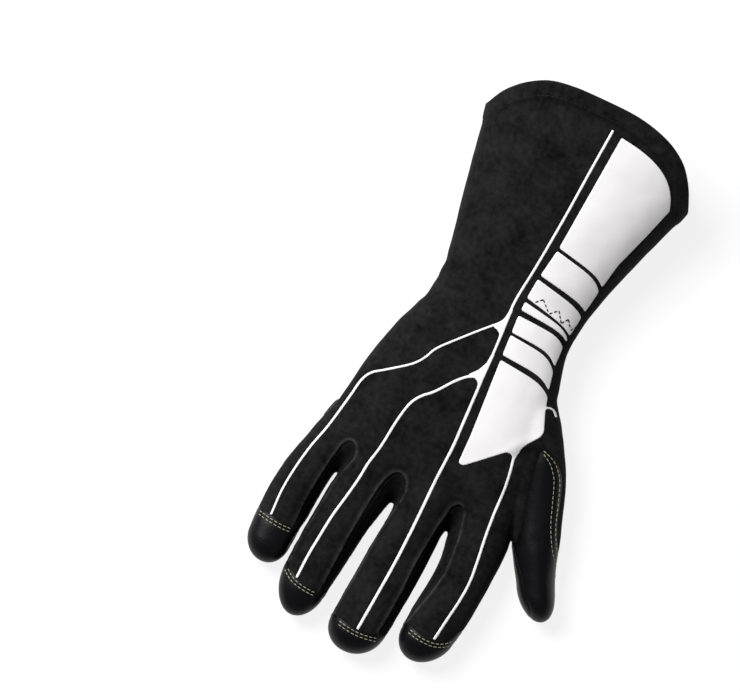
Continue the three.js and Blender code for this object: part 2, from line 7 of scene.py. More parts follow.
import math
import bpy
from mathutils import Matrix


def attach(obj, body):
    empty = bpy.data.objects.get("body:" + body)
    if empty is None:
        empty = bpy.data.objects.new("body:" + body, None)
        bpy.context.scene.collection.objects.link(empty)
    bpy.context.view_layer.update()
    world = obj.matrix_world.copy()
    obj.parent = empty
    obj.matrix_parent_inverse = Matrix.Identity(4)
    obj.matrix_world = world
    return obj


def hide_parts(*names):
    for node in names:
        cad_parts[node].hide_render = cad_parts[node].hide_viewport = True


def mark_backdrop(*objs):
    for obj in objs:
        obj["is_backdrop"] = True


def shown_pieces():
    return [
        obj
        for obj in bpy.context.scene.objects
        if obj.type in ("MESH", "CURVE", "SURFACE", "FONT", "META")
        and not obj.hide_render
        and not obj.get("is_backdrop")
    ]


bl_info = {
    "name": "Racing Glove",
    "version": (1, 0, 0),
    "blender": (4, 5, 0),
    "location": "View3D > Sidebar > Glove",
    "description": "Makes the cloth, leather, print and stitching of a racing glove",
    "category": "Add Mesh",
}

import bmesh
import bpy
import numpy as np
from mathutils import Matrix, Vector, noise
from mathutils.bvhtree import BVHTree
from mathutils.kdtree import KDTree

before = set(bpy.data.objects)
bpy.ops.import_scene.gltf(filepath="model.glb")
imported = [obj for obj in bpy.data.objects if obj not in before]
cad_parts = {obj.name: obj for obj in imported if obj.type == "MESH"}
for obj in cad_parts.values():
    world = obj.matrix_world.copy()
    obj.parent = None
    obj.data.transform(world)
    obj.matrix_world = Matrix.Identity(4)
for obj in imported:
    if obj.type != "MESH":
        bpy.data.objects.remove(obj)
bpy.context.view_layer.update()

MM = 0.001
TABLE_ORIGIN = Vector((6.816, -23.89, 0.0))  # where the tables' zero lies in the frame
TO_FRAME = Matrix.Diagonal((MM, MM, MM, 1)) @ Matrix.Translation(TABLE_ORIGIN)
BODY_NAME = "root"
FAR = 300.0

# The glove's form: y, then the section's columns

BODY = (  # y, thumb's side, little finger's side, top, under, roundness
    (-150, -82, 65, 68, -8, 2.3),
    (-100, -63.8, 53.4, 58.5, -7, 2.3),
    (-60, -49.4, 46.4, 50.5, -5, 2.3),
    (-38, -42.6, 42, 45.5, -1, 2.3),
    (-22, -39.1, 40, 42, 1.5, 2.3),
    (-8, -38.1, 41, 42, 0, 2.4),
    (15, -43, 49, 41.5, -4, 2.5),
    (40, -49, 55.6, 38.5, -5, 2.6),
    (65, -51, 59.8, 34, -5, 2.6),
    (85, -51, 62, 29, -4, 2.5),
    (95, -50, 63, 23, -1, 2.3),
    (100, -49, 62, 18.5, 2, 2.2),
    (102.5, -47, 60, 14.5, 6, 2),
)
KNUCKLE_SLANT = (60, 100, 0.1)  # from y, to y, shift for each mm towards the little finger
DIGITS = {  # tip: y, x, length; rows: y, x, half width, top, under
    "thumb": (
        (126.4, -81.8, 14.4),
        (
            (8, -22.2, 14.4, 33, -2),
            (20, -29.2, 16.3, 34, -2),
            (30, -35.2, 17.5, 34, -2),
            (48, -46, 17, 31.5, -1),
            (65, -54.5, 15.4, 28.5, 0),
            (80, -60.6, 14.7, 26.5, 0.5),
            (95, -66.9, 12.9, 24.5, 1),
            (105, -71.6, 11.7, 23, 0.5),
            (112, -75.4, 10.9, 22, 0),
        ),
    ),
    "index": (
        (172.2, -31.8, 16.5),
        (
            (70, -35, 14.5, 27, -2),
            (84, -35.9, 15.8, 28, -1),
            (95, -36.4, 16.2, 27.5, 0),
            (105, -36.9, 15.7, 26.6, 1),
            (119, -37.7, 14.5, 25.8, 1.8),
            (130, -37.1, 14.5, 25.5, 2.2),
            (147, -35.5, 14.3, 23.5, 0.5),
            (155.7, -34.3, 13.9, 22.5, 0),
        ),
    ),
    "middle": (
        (182.4, 2, 15.1),
        (
            (70, -4.5, 14.5, 28, -2),
            (84, -4.6, 15.6, 29, -1),
            (97, -4.5, 15.4, 28.5, 0),
            (108, -4.1, 14.9, 27.2, 1.2),
            (119, -3.4, 15.2, 26.5, 2),
            (132, -2.3, 15.7, 26, 2.5),
            (150, -0.7, 15.4, 24.2, 1.1),
            (167.3, 0.8, 15.1, 22.5, 0),
        ),
    ),
    "ring": (
        (176.9, 35.4, 22),
        (
            (70, 26.5, 14.5, 27, -2),
            (84, 27.3, 15.6, 28, -1),
            (98, 28.1, 16, 27.5, 0.3),
            (108, 30, 15.6, 26.8, 1.4),
            (120, 31.9, 14.7, 26, 2),
            (137, 34, 14.2, 25, 2),
            (154.9, 35.9, 13.5, 22.5, 0),
        ),
    ),
    "little": (
        (158.3, 61, 13.5),
        (
            (66, 51, 9, 23, -2),
            (82, 53.6, 11.6, 24.5, -0.5),
            (98, 57.6, 12.2, 24, 0.5),
            (105, 59.2, 12.3, 23.3, 1.1),
            (119, 61, 12.6, 22, 1.5),
            (135, 62, 12.3, 20.7, 0.8),
            (144.8, 62.2, 11.7, 19.5, 0),
        ),
    ),
}
DIGIT_ROUND = 2.3
SECTION_STEP = 2.0
BODY_SIDES = 120
DIGIT_SIDES = 72
TIP_TURNS = (6, 87, 14)  # degrees that a tip's sections run from and to, and their number
THINNEST = 0.3  # half of the least width and height of a section
PALM_STAND = (-26, -8, 114, 128)  # the palm's leather rests on its patches between these y
PALM_STAND_HEIGHT = 1.5
WEBS = ((45, 92), (12, 98), (-20, 98), (-53, 90))  # where the digits part, softened
WEB_REACH = 8.0
WEB_ROUNDS = 4
THUMB_VALLEY_TOP = ((-35, 20), (-38, 30), (-42, 42))  # where the thumb's back joins the hand, softened
THUMB_VALLEY_REACH = 10.0
THUMB_VALLEY_ROUNDS = 24
THUMB_VALLEY_FLOOR = 24.0
SKIN_ROUNDS = 5  # of smoothing the whole skin
SPARE = 0.6  # the skin is joined this far inside its form, so that narrow gaps stay open
SNAP = 0.06  # share of an edge within which a cut runs through its vertex
SEAM_OVERLAP = 0.02  # how far a panel's cuts run past the side seam

HEM_STITCH_INSET = 8.0
HEM_LIP = 1.5  # radius that the hem's edge turns round
HEM_TURN = 12.0  # how far the hem is folded inside
HEM_TURN_RISE = 0.3  # the folded end comes this far nearer the skin
HEM_REACH = 16.0  # how far from the hem its distance is worked out
PATCH_HEIGHT = 1.2
PATCH_ROUNDING = 1.1
PRINT_ROUNDING = 0.5
LAYER_SINK = 0.3  # how far a layer's sides reach into the skin
LAYER_EDGE = 0.4  # a layer's height at its edge, as a share of its full height
CUT_MARGIN = 3.0  # faces this near an outline are kept until it is cut
LEAST_HEIGHT = 0.02
PRINT_ABOVE_SEAM = 1.0
PRINT_CORNER = 1.4
WEB_CORNER = 1.0
INDEX_FILLET = 3.2  # fills the corners where the index finger's stripe leaves its block
THUMB_FILLET = 1.0
STRIPE_FILLET = 0.8
THREAD_FLATNESS = 1.3  # a thread's width over its height
THREAD_LIFT = 0.12  # how far a thread lies out of the surface, as a share of its thickness
ROW_BREAK = 4.0  # a row breaks where the surface jumps further

# Stage, in metres

PHOTO_WIDTH = 0.3848  # that the picture is wide at the target
SENSOR_WIDTH = 36  # millimetres
CAMERA_TARGET = (0.06376, 0.00838, 0.035)
CAMERA_RIGHT = (-0.9063, -0.4226, 0)
CAMERA_UP = (0.4226, -0.9063, 0)
KEY_PLACE = (1.6, -0.7, 2.15)
KEY_SIZE = 1.6
FILL_PLACE = (-1.6, 0.9, 1.5)
FILL_SIZE = 2.4
FLOOR_RADIUS = 3
FLOOR_SIDES = 64

# Seams

SIDE_SEAM = (  # y, height of the seam between back and palm, which runs round both sides
    (-160, 27), (-100, 22.5), (-60, 20), (-30, 19), (-8, 18.5), (15, 17.5), (40, 16.5), (65, 14.5),
    (85, 12.2), (100, 10.8), (200, 9.5),
)
HEM_LINE = (
    (-84, -56), (-72, -83), (-65.5, -98.5), (-62, -106.4), (-58, -113.3), (-52, -120.8), (-44, -126.5),
    (-35, -130.4), (-20, -133.7), (0, -134.5), (20, -133.8), (31, -131.6), (40, -126.9), (46, -122.3),
    (51, -116.7), (55.5, -109), (60, -98.5), (68, -78),
)
HEM_DEPTH = 9.0
WRIST_SEAM_Y = -18.0
GUSSETS = {
    "gusset_little_ring": (
        (54, 150), (52.9, 133), (52.6, 117), (50.4, 99), (49, 90.5), (47.4, 84.2), (45, 81.8), (42.2, 82.8),
        (40.6, 86), (40.4, 91), (41.6, 95), (43.6, 103), (45, 115), (46.4, 128), (47.6, 140), (48, 150),
    ),
    "gusset_ring_middle": (
        (26.5, 166), (25, 139), (23.9, 123), (20.3, 94.5), (17.4, 87.8), (15, 86.2),
        (12, 87.2), (9.6, 91), (8.8, 97), (9.8, 105), (12.4, 129), (14, 150), (15.2, 166),
    ),
    "gusset_middle_index": (
        (-10.6, 166), (-12.8, 141), (-13.2, 124), (-16.3, 97), (-18, 90.4), (-20.4, 88),
        (-22.8, 89.6), (-24.6, 94), (-27.6, 119), (-26.4, 131), (-20.6, 157), (-19.5, 166),
    ),
}
TIP_WRAPS = {
    "index": (
        (-55, 144.4), (-49, 147.6), (-46, 153.2), (-40.7, 157), (-32.4, 157.8), (-23.4, 155.8),
        (-17.5, 152.6),
    ),
    "middle": ((-19, 164.3), (-12, 167.4), (0, 169.2), (12.1, 167.4), (19.5, 164.8)),
    "ring": ((20.5, 158.8), (27.7, 159.8), (40.3, 158.2), (46.6, 153.9), (50.2, 150.2)),
    "little": ((49.5, 134.4), (57, 135.1), (65, 134.6), (74, 132.8), (79, 131.3)),
}
THUMB_LEATHER_EDGE = (
    (-47, 46), (-49, 43), (-55.6, 45.2), (-62.6, 52.3), (-67.5, 64.6), (-71.7, 76.7), (-77.2, 87.5),
    (-83, 95), (-100, 100),
)
THUMB_STRIP_EDGE = ((-81, 135), (-77.5, 122.5), (-71.5, 117), (-64, 107.5), (-57, 98.5), (-54.8, 93))
THUMB_VALLEY = ((-54.8, 93), (-53.4, 82), (-51.4, 72), (-49.4, 62), (-48, 54), (-47, 46))
THUMB_UNDER_EDGE = (
    (-25, -18), (-22, -6), (-22.5, 8), (-27, 20), (-33.5, 31), (-42, 44), (-50, 60), (-57.5, 77),
    (-64, 91), (-70.5, 102),
)
THUMB_UNDER_TIP = ((-70.5, 102), (-84, 96.5), (-100, 92))

# Patches under the palm

HEEL_EDGE = (
    (-27, 63), (-24, 54), (-20.5, 44.5), (-16, 40.4), (1, 31), (16, 24.6), (35, 18.8), (52, 12.4), (70, 5),
)
GRIP_EDGE = ((-44.6, 66.5), (-26.5, 66.4), (-10, 64), (3, 62.2), (22, 59.6), (42, 56.6), (70, 51))
KNUCKLE_EDGE = (
    (-46.6, 90), (-37.5, 88.2), (-21.5, 88), (-9.6, 85.2), (2.6, 82.6), (15.4, 81), (45, 78.6), (70, 75),
)
GRIP_THUMB_END = ((-48.2, 80.6), (-47, 73))
FINGER_TABS = (  # from x, to x, outer y, y between the fingers
    (-48.4, -29.6, 106.8, 93),
    (-12.3, 1.4, 107, 92.2),
    (17.2, 30.2, 106.8, 88.2),
    (46.4, 60.4, 102, 88.2),
)
TAB_CORNER = 3.0
TAB_LEAN = 0.4
TAB_RISE = 6.0  # a tab's side starts this far past the dip
DIP = ((3, 1), (6.5, 0), (10.5, 1))  # points after a tab: past its end, and past the dip
PATCH_BELOW_SEAM = 6.0
PATCH_GAP = 0.4

# White print

PANEL_EDGE = (  # y, inner edge, outer edge
    (-121, -15.9, -60),
    (-96, -13.8, -54.4),
    (-80, -12.8, -49.3),
    (-60, -11.3, -42.3),
    (-45, -9.2, -39.4),
    (-29, -6.7, -36.8),
    (-16, -6.4, -35),
    (-5, -6.9, -34.2),
    (3, -7.3, -34.9),
    (15, -8, -37.4),
    (36, -9.5, -44.8),
)
# A block's end: y at the panel's inner edge, its even rise outwards, and a rise that sets in late
CUFF_BLOCK = (-120.5, (-55.1, 5.9, 3.2))
CUFF_BLOCK_CORNER = ((-28, -118.6), (-38.7, -115.2), (-46.4, -110.4), (-51.6, -104.2), (-54.6, -97))
WRIST_BLOCKS = {  # both ends of each
    "side_block_2": ((-53.3, 5.9, 4.2), (-38.1, 5.1, 2.2)),
    "side_block_3": ((-35.8, 5.9, 2.5), (-24.6, 6.2, 2.4)),
    "side_block_4": ((-22.4, 4.8, 3.5), (-17.6, 2.2, 2.8)),
    "side_block_5": ((-14.5, 1.4, 4), (-5, 1.7, 5.1)),
    "side_block_6": ((-3.6, 2.5, 5.5), (7.7, 2, 4.6)),
}
HAND_BLOCK_FROM = (10.3, 2.9, 4.3)
HAND_BLOCK_ARROW = (
    (-40.2, 25), (-44.2, 35.2), (-43.4, 38.4), (-39.2, 43.8), (-36.6, 48.6), (-34.6, 52.4), (-31, 52.4),
    (-13.4, 68.4), (-10.4, 68.2), (-10.2, 52),
)
LATE_RISE = 7  # power of the share across the panel
BLOCK_END_POINTS = 16
STRIPES = {
    "long": (
        (-10.2, -121.6), (-8.6, -100), (-6.6, -70), (-3.9, -40), (-1.8, -22), (-1.7, -14), (-2.6, 0),
        (-3, 12), (-3.5, 30),
    ),
    "middle": (
        (-3.5, 30), (-4, 47), (-4.4, 62), (-3.7, 80), (-3.5, 100), (-3.3, 112), (-2.6, 130), (-1.5, 145),
        (0.4, 168.3),
    ),
    "ring": (
        (-2.4, 21.6), (0.6, 23.4), (4.2, 25.6), (9, 30.3), (16.6, 40), (21.8, 45), (25, 50), (27.5, 60),
        (29.3, 75), (30.2, 80.5), (31.9, 88), (32.9, 97), (35.2, 110), (37.2, 120), (39, 135), (40, 145),
        (40.5, 157.3),
    ),
    "little": (
        (-1.7, -9.4), (3.2, -4.4), (7.8, 0.2), (17, 10), (25.4, 19.6), (28.2, 25.4), (32, 30.6), (44, 40),
        (50.4, 44.8), (53.2, 49.6), (55.2, 60), (59.2, 80), (62.6, 92), (65.1, 104.6), (66.7, 119),
        (66.5, 133.3),
    ),
    "index": (
        (-35.6, 50), (-35.8, 55), (-36.8, 60), (-38.1, 70), (-38.6, 84), (-39.5, 96), (-41.4, 112),
        (-42.2, 122), (-41.5, 133), (-40, 143), (-38, 156.5),
    ),
    "thumb": ((-39, 23.6), (-41.4, 22.4), (-44, 22.6), (-46.4, 24.8)),
}
STRIPE_WIDTHS = {"long": 1.35, "middle": 1.55, "ring": 1.35, "little": 1.1, "index": 1.4, "thumb": 1.0}
STRIPE_WEBS = {  # fill the corners where stripes part
    "little": (
        (-2.6, -16), (-1.8, -15.2), (0, -8.8), (3, -5.2), (3, -3.7), (0, -2.9), (-1.8, -1.3), (-3, 2.6),
    ),
    "ring": (
        (-3.6, 9), (-2.5, 10.2), (-1.9, 14.7), (0.5, 20), (4.2, 24.1), (3.6, 26), (0.5, 24.5), (-1.9, 25.8),
        (-3.2, 29),
    ),
}


def row_at(rows, y):
    """A table's columns at y, on a smooth curve through its rows that never overshoots them."""
    table = np.array(rows, float)
    places, values = table[:, 0], table[:, 1:]
    slopes = np.diff(values, axis=0) / np.diff(places)[:, None]
    before, after = slopes[:-1], slopes[1:]
    total = before + after
    inner = np.where(before * after > 0, 2 * before * after / np.where(total == 0, 1, total), 0)
    tangents = np.vstack([slopes[:1], inner, slopes[-1:]])
    k = int(np.clip(np.searchsorted(places, y, side="right") - 1, 0, len(places) - 2))
    step = places[k + 1] - places[k]
    t = float(np.clip((y - places[k]) / step, 0, 1))
    return (
        values[k] * (2 * t**3 - 3 * t**2 + 1)
        + values[k + 1] * (3 * t**2 - 2 * t**3)
        + tangents[k] * step * (t**3 - 2 * t**2 + t)
        + tangents[k + 1] * step * (t**3 - t**2)
    )


def smooth_line(points, step=1.0):
    """Points every step millimetres along a smooth curve through the given ones."""
    p = np.array(points, float)
    p = np.vstack([2 * p[0] - p[1], p, 2 * p[-1] - p[-2]])
    line = []
    for a, b, c, d in zip(p, p[1:], p[2:], p[3:]):
        knots = np.cumsum([0] + [np.linalg.norm(v) ** 0.5 for v in (b - a, c - b, d - c)])
        count = max(2, math.ceil(np.linalg.norm(c - b) / step))
        for t in np.linspace(knots[1], knots[2], count, endpoint=False):
            def mix(u, v, i, j):
                return (u * (knots[j] - t) + v * (t - knots[i])) / (knots[j] - knots[i])

            ab, bc, cd = mix(a, b, 0, 1), mix(b, c, 1, 2), mix(c, d, 2, 3)
            line.append(mix(mix(ab, bc, 0, 2), mix(bc, cd, 1, 3), 1, 2))
    return np.vstack([line, p[-2]])


def eased(share):
    """A share from 0 to 1 that sets in and ends softly."""
    return share**2 * (3 - 2 * share)


def shifted(line, out):
    """A line moved sideways by out, to the left of its own direction."""
    line = np.array(line, float)
    along = np.gradient(line, axis=0)
    along /= np.linalg.norm(along, axis=1)[:, None]
    return line + out * np.stack([-along[:, 1], along[:, 0]], 1)


def distance_to_line(points, line, reach=12.0):
    """Each point's distance from a line seen from above, and its place along it from 0 to 1."""
    line = np.array(line, float)
    flat = points[:, :2]
    distance = np.full(len(flat), FAR)
    along = np.zeros(len(flat))
    near = np.all((flat > line.min(0) - reach) & (flat < line.max(0) + reach), axis=1)
    here = flat[near]
    best, place = distance[near], along[near]
    for i, (a, b) in enumerate(zip(line, line[1:])):
        run = b - a
        t = np.clip((here - a) @ run / max(run @ run, 1e-9), 0, 1)
        gap = np.linalg.norm(here - a - t[:, None] * run, axis=1)
        closer = gap < best
        best[closer] = gap[closer]
        place[closer] = (i + t[closer]) / (len(line) - 1)
    distance[near], along[near] = best, place
    return distance, along


def outside_distance(points, outline):
    """Each point's distance from an outline seen from above, below zero inside it."""
    outline = np.array(outline, float)
    closed = np.vstack([outline, outline[:1]])
    distance, _ = distance_to_line(points, closed)
    inside = np.zeros(len(points), bool)
    x, y = points[:, 0], points[:, 1]
    for (ax, ay), (bx, by) in zip(closed, closed[1:]):
        if ay != by:
            crossing = ax + (y - ay) * (bx - ax) / (by - ay)
            inside ^= ((ay > y) != (by > y)) & (x < crossing)
    return np.where(inside, -distance, distance)


# The form: one closed skin, cut along its seams and shaped

def rest_height(y):
    """Height that the underside rests at."""
    start, full, full_to, end = PALM_STAND
    share = np.minimum((y - start) / (full - start), (end - y) / (end - full_to))
    return PALM_STAND_HEIGHT * np.clip(share, 0, 1)


def seam_height(points):
    """Height of the side seam between back and palm above each point."""
    rows = np.array(SIDE_SEAM, float)
    return np.interp(points[:, 1], rows[:, 0], rows[:, 1])


def above_seam(points):
    return points[:, 2] - seam_height(points)


HEM_CURVE = smooth_line(HEM_LINE)


def beyond_hem(points):
    """Each point's distance from the hem's line seen from above, above zero on the fingers' side."""
    distance, _ = distance_to_line(points, HEM_CURVE, HEM_REACH)
    beyond = points[:, 1] > np.interp(points[:, 0], HEM_CURVE[:, 0], HEM_CURVE[:, 1])
    return np.where(beyond, distance, -distance)


def section(y, x, half, top, under, roundness, angles, inset):
    """Points of one section, at angles round it, inset from the form."""
    def bend(value):
        return np.sign(value) * np.abs(value) ** (2 / roundness)

    across = x + max(half - inset, THINNEST) * bend(np.cos(angles))
    z = (top + under) / 2 + max((top - under) / 2 - inset, THINNEST) * bend(np.sin(angles))
    z = np.maximum(z, rest_height(y) + inset)
    return np.stack([across, np.full_like(angles, y), z], 1)


def places_along(rows):
    """Places of the sections between a table's first and last row."""
    start, end = rows[0][0], rows[-1][0]
    return np.linspace(start, end, math.ceil((end - start) / SECTION_STEP))


def body_sections(inset):
    for y in places_along(BODY):
        thumb, little, top, under, roundness = row_at(BODY, y)

        def place(angles, y=y, row=((thumb + little) / 2, (little - thumb) / 2, top, under, roundness)):
            points = section(y, *row, angles, inset)
            from_y, to_y, per_mm = KNUCKLE_SLANT
            share = np.clip((y - from_y) / (to_y - from_y), 0, 1)
            points[:, 1] -= per_mm * np.maximum(0, points[:, 0]) * eased(share)
            return points

        yield place


def digit_sections(tip, rows, inset):
    for y in places_along(rows):
        yield lambda angles, y=y: section(y, *row_at(rows, y), DIGIT_ROUND, angles, inset)
    _, tip_x, length = tip
    end, x, half, top, under = rows[-1]
    middle, rise = (top + under) / 2, (top - under) / 2
    for turn in np.radians(np.linspace(*TIP_TURNS)):
        across, along = math.cos(turn), math.sin(turn)
        y = end + along * (length - inset)
        row = (x + (tip_x - x) * along, half * across, middle + rise * across, middle - rise * across)
        inner = inset * across
        yield lambda angles, y=y, row=row, inner=inner: section(y, *row, DIGIT_ROUND, angles, inner)


def add_tube(bm, sections, sides):
    """A closed tube through sections, each a function that gives points at angles round it."""
    angle = bm.verts.layers.float["angle"]
    ring = bmesh.ops.create_circle(bm, segments=sides, radius=1)["verts"]
    for vert in ring:
        vert[angle] = math.atan2(vert.co.y, vert.co.x)
    edges = list({edge for vert in ring for edge in vert.link_edges})
    first = list(edges)
    for i, place in enumerate(sections):
        if i:
            made = bmesh.ops.extrude_edge_only(bm, edges=edges)["geom"]
            ring = [item for item in made if isinstance(item, bmesh.types.BMVert)]
            edges = [item for item in made if isinstance(item, bmesh.types.BMEdge)]
        for vert, point in zip(ring, place(np.array([vert[angle] for vert in ring]))):
            vert.co = point
    bmesh.ops.contextual_create(bm, geom=first)
    bmesh.ops.contextual_create(bm, geom=edges)


def evaluated(obj):
    """An object's mesh with its modifiers applied."""
    graph = bpy.context.evaluated_depsgraph_get()
    return bpy.data.meshes.new_from_object(obj.evaluated_get(graph))


def positions(bm):
    bm.verts.index_update()
    return np.array([vert.co[:] for vert in bm.verts])


def relax(bm, verts, rounds):
    for _ in range(rounds):
        bmesh.ops.smooth_vert(
            bm, verts=verts, factor=0.5, use_axis_x=True, use_axis_y=True, use_axis_z=True
        )


def verts_near(bm, places, reach, floor):
    """The vertices above a floor that are near some places, seen from above."""
    points = positions(bm)
    near = np.zeros(len(points), bool)
    for place in places:
        near |= np.linalg.norm(points[:, :2] - np.array(place), axis=1) < reach
    return [vert for vert, soft, z in zip(bm.verts, near, points[:, 2]) if soft and z > floor]


def raw_skin(size, inset=0.0):
    """Body and digits joined to one smooth closed skin, in table millimetres."""
    bm = bmesh.new()
    bm.verts.layers.float.new("angle")
    add_tube(bm, body_sections(inset + SPARE), BODY_SIDES)
    for tip, rows in DIGITS.values():
        add_tube(bm, digit_sections(tip, rows, inset + SPARE), DIGIT_SIDES)
    bmesh.ops.recalc_face_normals(bm, faces=bm.faces)
    mesh = bpy.data.meshes.new("skin")
    bm.to_mesh(mesh)
    bm.free()
    obj = bpy.data.objects.new("skin", mesh)
    bpy.context.scene.collection.objects.link(obj)
    remesh = obj.modifiers.new("one skin", "REMESH")
    remesh.mode = "VOXEL"
    remesh.voxel_size = size
    joined = evaluated(obj)
    bpy.data.objects.remove(obj)
    bm = bmesh.new()
    bm.from_mesh(joined)
    relax(bm, bm.verts, SKIN_ROUNDS)
    relax(bm, verts_near(bm, WEBS, WEB_REACH, 0), WEB_ROUNDS)
    valley = verts_near(bm, THUMB_VALLEY_TOP, THUMB_VALLEY_REACH, THUMB_VALLEY_FLOOR)
    relax(bm, valley, THUMB_VALLEY_ROUNDS)
    bm.normal_update()
    for vert in bm.verts:
        vert.co += vert.normal * SPARE
    return bm


def score(bm, field, where=None):
    """Cuts faces along the line where the field is zero, among the vertices that where picks."""
    points = positions(bm)
    values = field(points)
    if where is not None:
        values = np.where(where(points), values, FAR)
    values = values.tolist()
    on_line = set()
    crossed = []
    for edge in bm.edges:
        a, b = edge.verts
        fa, fb = values[a.index], values[b.index]
        if fa * fb >= 0 or abs(fa - fb) > FAR / 2:
            continue
        share = fa / (fa - fb)
        if share < SNAP:
            on_line.add(a)
        elif share > 1 - SNAP:
            on_line.add(b)
        else:
            crossed.append((edge, a, share))
    for edge, vert, share in crossed:
        on_line.add(bmesh.utils.edge_split(edge, vert, share)[1])
    bmesh.ops.connect_verts(bm, verts=list(on_line))


def face_centres(bm):
    return np.array([face.calc_center_median()[:] for face in bm.faces])


def keep_faces(bm, kept):
    """Deletes the faces that aren't kept."""
    gone = [face for face, stays in zip(bm.faces, kept) if not stays]
    bmesh.ops.delete(bm, geom=gone, context="FACES")


# Outlines that bound the panels, seen from above

def outline_of(*edges):
    """One closed outline from edges that follow on each other. A tuple is smoothed, a list is not."""
    lines = [smooth_line(edge) if isinstance(edge, tuple) else np.array(edge, float) for edge in edges]
    return np.vstack(lines)


def wrap_outline(edge):
    """A fingertip's outline, from its seam outwards."""
    return outline_of(edge, [(edge[-1][0], FAR), (edge[0][0], FAR)])


PANEL_OUTLINES = {
    "thumb_leather": outline_of(THUMB_LEATHER_EDGE, [(-100, 135)], THUMB_STRIP_EDGE, THUMB_VALLEY),
    "thumb_strip": outline_of(THUMB_STRIP_EDGE, [(-53.4, 94), (-52, 132), (-79.5, 135)]),
    "thumb_under": outline_of(THUMB_UNDER_EDGE, [*THUMB_UNDER_TIP[1:], (-100, WRIST_SEAM_Y)]),
    **{name: outline_of(outline) for name, outline in GUSSETS.items()},
    **{"wrap_" + name: wrap_outline(edge) for name, edge in TIP_WRAPS.items()},
}
WRAPS = [name for name in PANEL_OUTLINES if name.startswith("wrap_")]
PANELS = ("back", "cuff_palm", "palm_leather", "thumb_leather", *GUSSETS)
BACK, CUFF_PALM, PALM, THUMB = range(4)


def panels_at(points):
    """The number in PANELS of the panel at each point."""
    inside = {name: outside_distance(points, outline) < 0 for name, outline in PANEL_OUTLINES.items()}
    upper = above_seam(points) > 0
    hand = points[:, 1] > WRIST_SEAM_Y
    panel = np.where(upper, BACK, np.where(hand, PALM, CUFF_PALM))
    for name in GUSSETS:
        panel[upper & inside[name]] = PANELS.index(name)
    panel[upper & inside["thumb_leather"]] = THUMB
    for name in [*WRAPS, "thumb_strip"]:
        panel[upper & inside[name]] = PALM
    panel[~upper & hand & inside["thumb_under"]] = BACK
    return panel


def cut_into_panels(bm):
    """Cuts the skin along every seam and takes away what lies beyond the hem."""
    def behind_lip(points):
        return beyond_hem(points) - HEM_LIP

    score(bm, behind_lip)
    keep_faces(bm, behind_lip(face_centres(bm)) > 0)
    score(bm, above_seam)
    for name, outline in PANEL_OUTLINES.items():
        def where(points, side=-1 if name == "thumb_under" else 1):
            return side * above_seam(points) > -SEAM_OVERLAP

        score(bm, lambda points, outline=outline: outside_distance(points, outline), where)
    score(bm, lambda points: points[:, 1] - WRIST_SEAM_Y, lambda points: above_seam(points) < SEAM_OVERLAP)


# Relief of the skin: seams, stitch rows, folds and gathers

# Profiles beside a line, as a sum of ridges: height, distance from the line, width
SEWN_SEAM = ((-0.6, 0, 0.9), (0.22, 2.3, 1.2))
EDGE_SEAM = ((-0.25, 0, 0.7),)
GUSSET_SEAM = ((-0.6, 0, 0.8),)
PIPING = ((0.75, 1.3, 0.9), (-0.3, 0, 0.5), (-0.3, 3.4, 1.1))
HEM_PROFILE = ((0.2, 4.2, 3), (-0.35, HEM_STITCH_INSET, 0.8))
ROW_GROOVE = ((-0.14, 0, 0.8),)
QUILT_GROOVE = ((-0.3, 0, 0.7),)
THUMB_GROOVE = ((-0.9, 0, 3.5),)

# Painted shade that darkens the colour beside a line, and a painted highlight that lightens it along the
# piping
HEM_PAINTED_SHADE = ((0.5, HEM_STITCH_INSET, 1.1),)
PIPING_PAINTED_HIGHLIGHT = ((4.5, 1.3, 0.55),)

EDGE_SEAM_HEIGHT = 1.0  # a seam this far over the side seam is an edge seam
GUSSET_FALL = 3.5  # a gusset sinks in over this far from its piping
HEM_THICKNESS = 0.5  # of the hem's second layer
HEM_STEP = 2.4  # that layer ends over this far
TIP_FADE = 7.0  # seams run out over this far before a fingertip's wrap
FOLD_ROLLS = (0.4, 1.9, 0.9)  # beside a fold: share of its depth, then distance and width in fold widths
FOLD_TAPER = 0.7
GATHERS = (  # spacing, share, phase, lean
    (6.8, 0.6, 0.3, 0.1),
    (4.3, 0.3, 1.7, -0.14),
    (9.7, 0.4, 2.9, 0.22),
)
GATHER_DEPTH = 1.3
GATHER_START = 1.6  # gathers set in over this far from the wrist's seam
LEATHER_GATHERS = 8.0  # and fade over this far
CLOTH_GATHERS = 6.0
SWELL = 0.35  # of a patch between its rows
SWELL_WIDTH = 2.4
UNEVENNESS = ((0.55, 24.0, (0, 0, 0)), (0.13, 8.0, (9, 4, 7)))  # height, size, shift


def bump(distance, middle, width):
    """A soft ridge round a distance."""
    return np.exp(-(((distance - middle) / width) ** 2))


def profile(distance, ridges):
    """Height beside a line that a sum of ridges gives."""
    return sum(height * bump(distance, middle, width) for height, middle, width in ridges)


def nearest_distance(points, targets):
    tree = KDTree(len(targets))
    for i, target in enumerate(targets):
        tree.insert(target, i)
    tree.balance()
    return np.array([tree.find(point)[2] for point in points])


def seam_kind(first, second, height):
    """Name of the kind of seam between two panels, at a height over the side seam."""
    pair = {first, second}
    if max(pair) > THUMB:
        return "gusset"
    if pair == {CUFF_PALM, PALM}:
        return "wrist"
    if THUMB in pair or height > EDGE_SEAM_HEIGHT:
        return "edge"
    return "side"


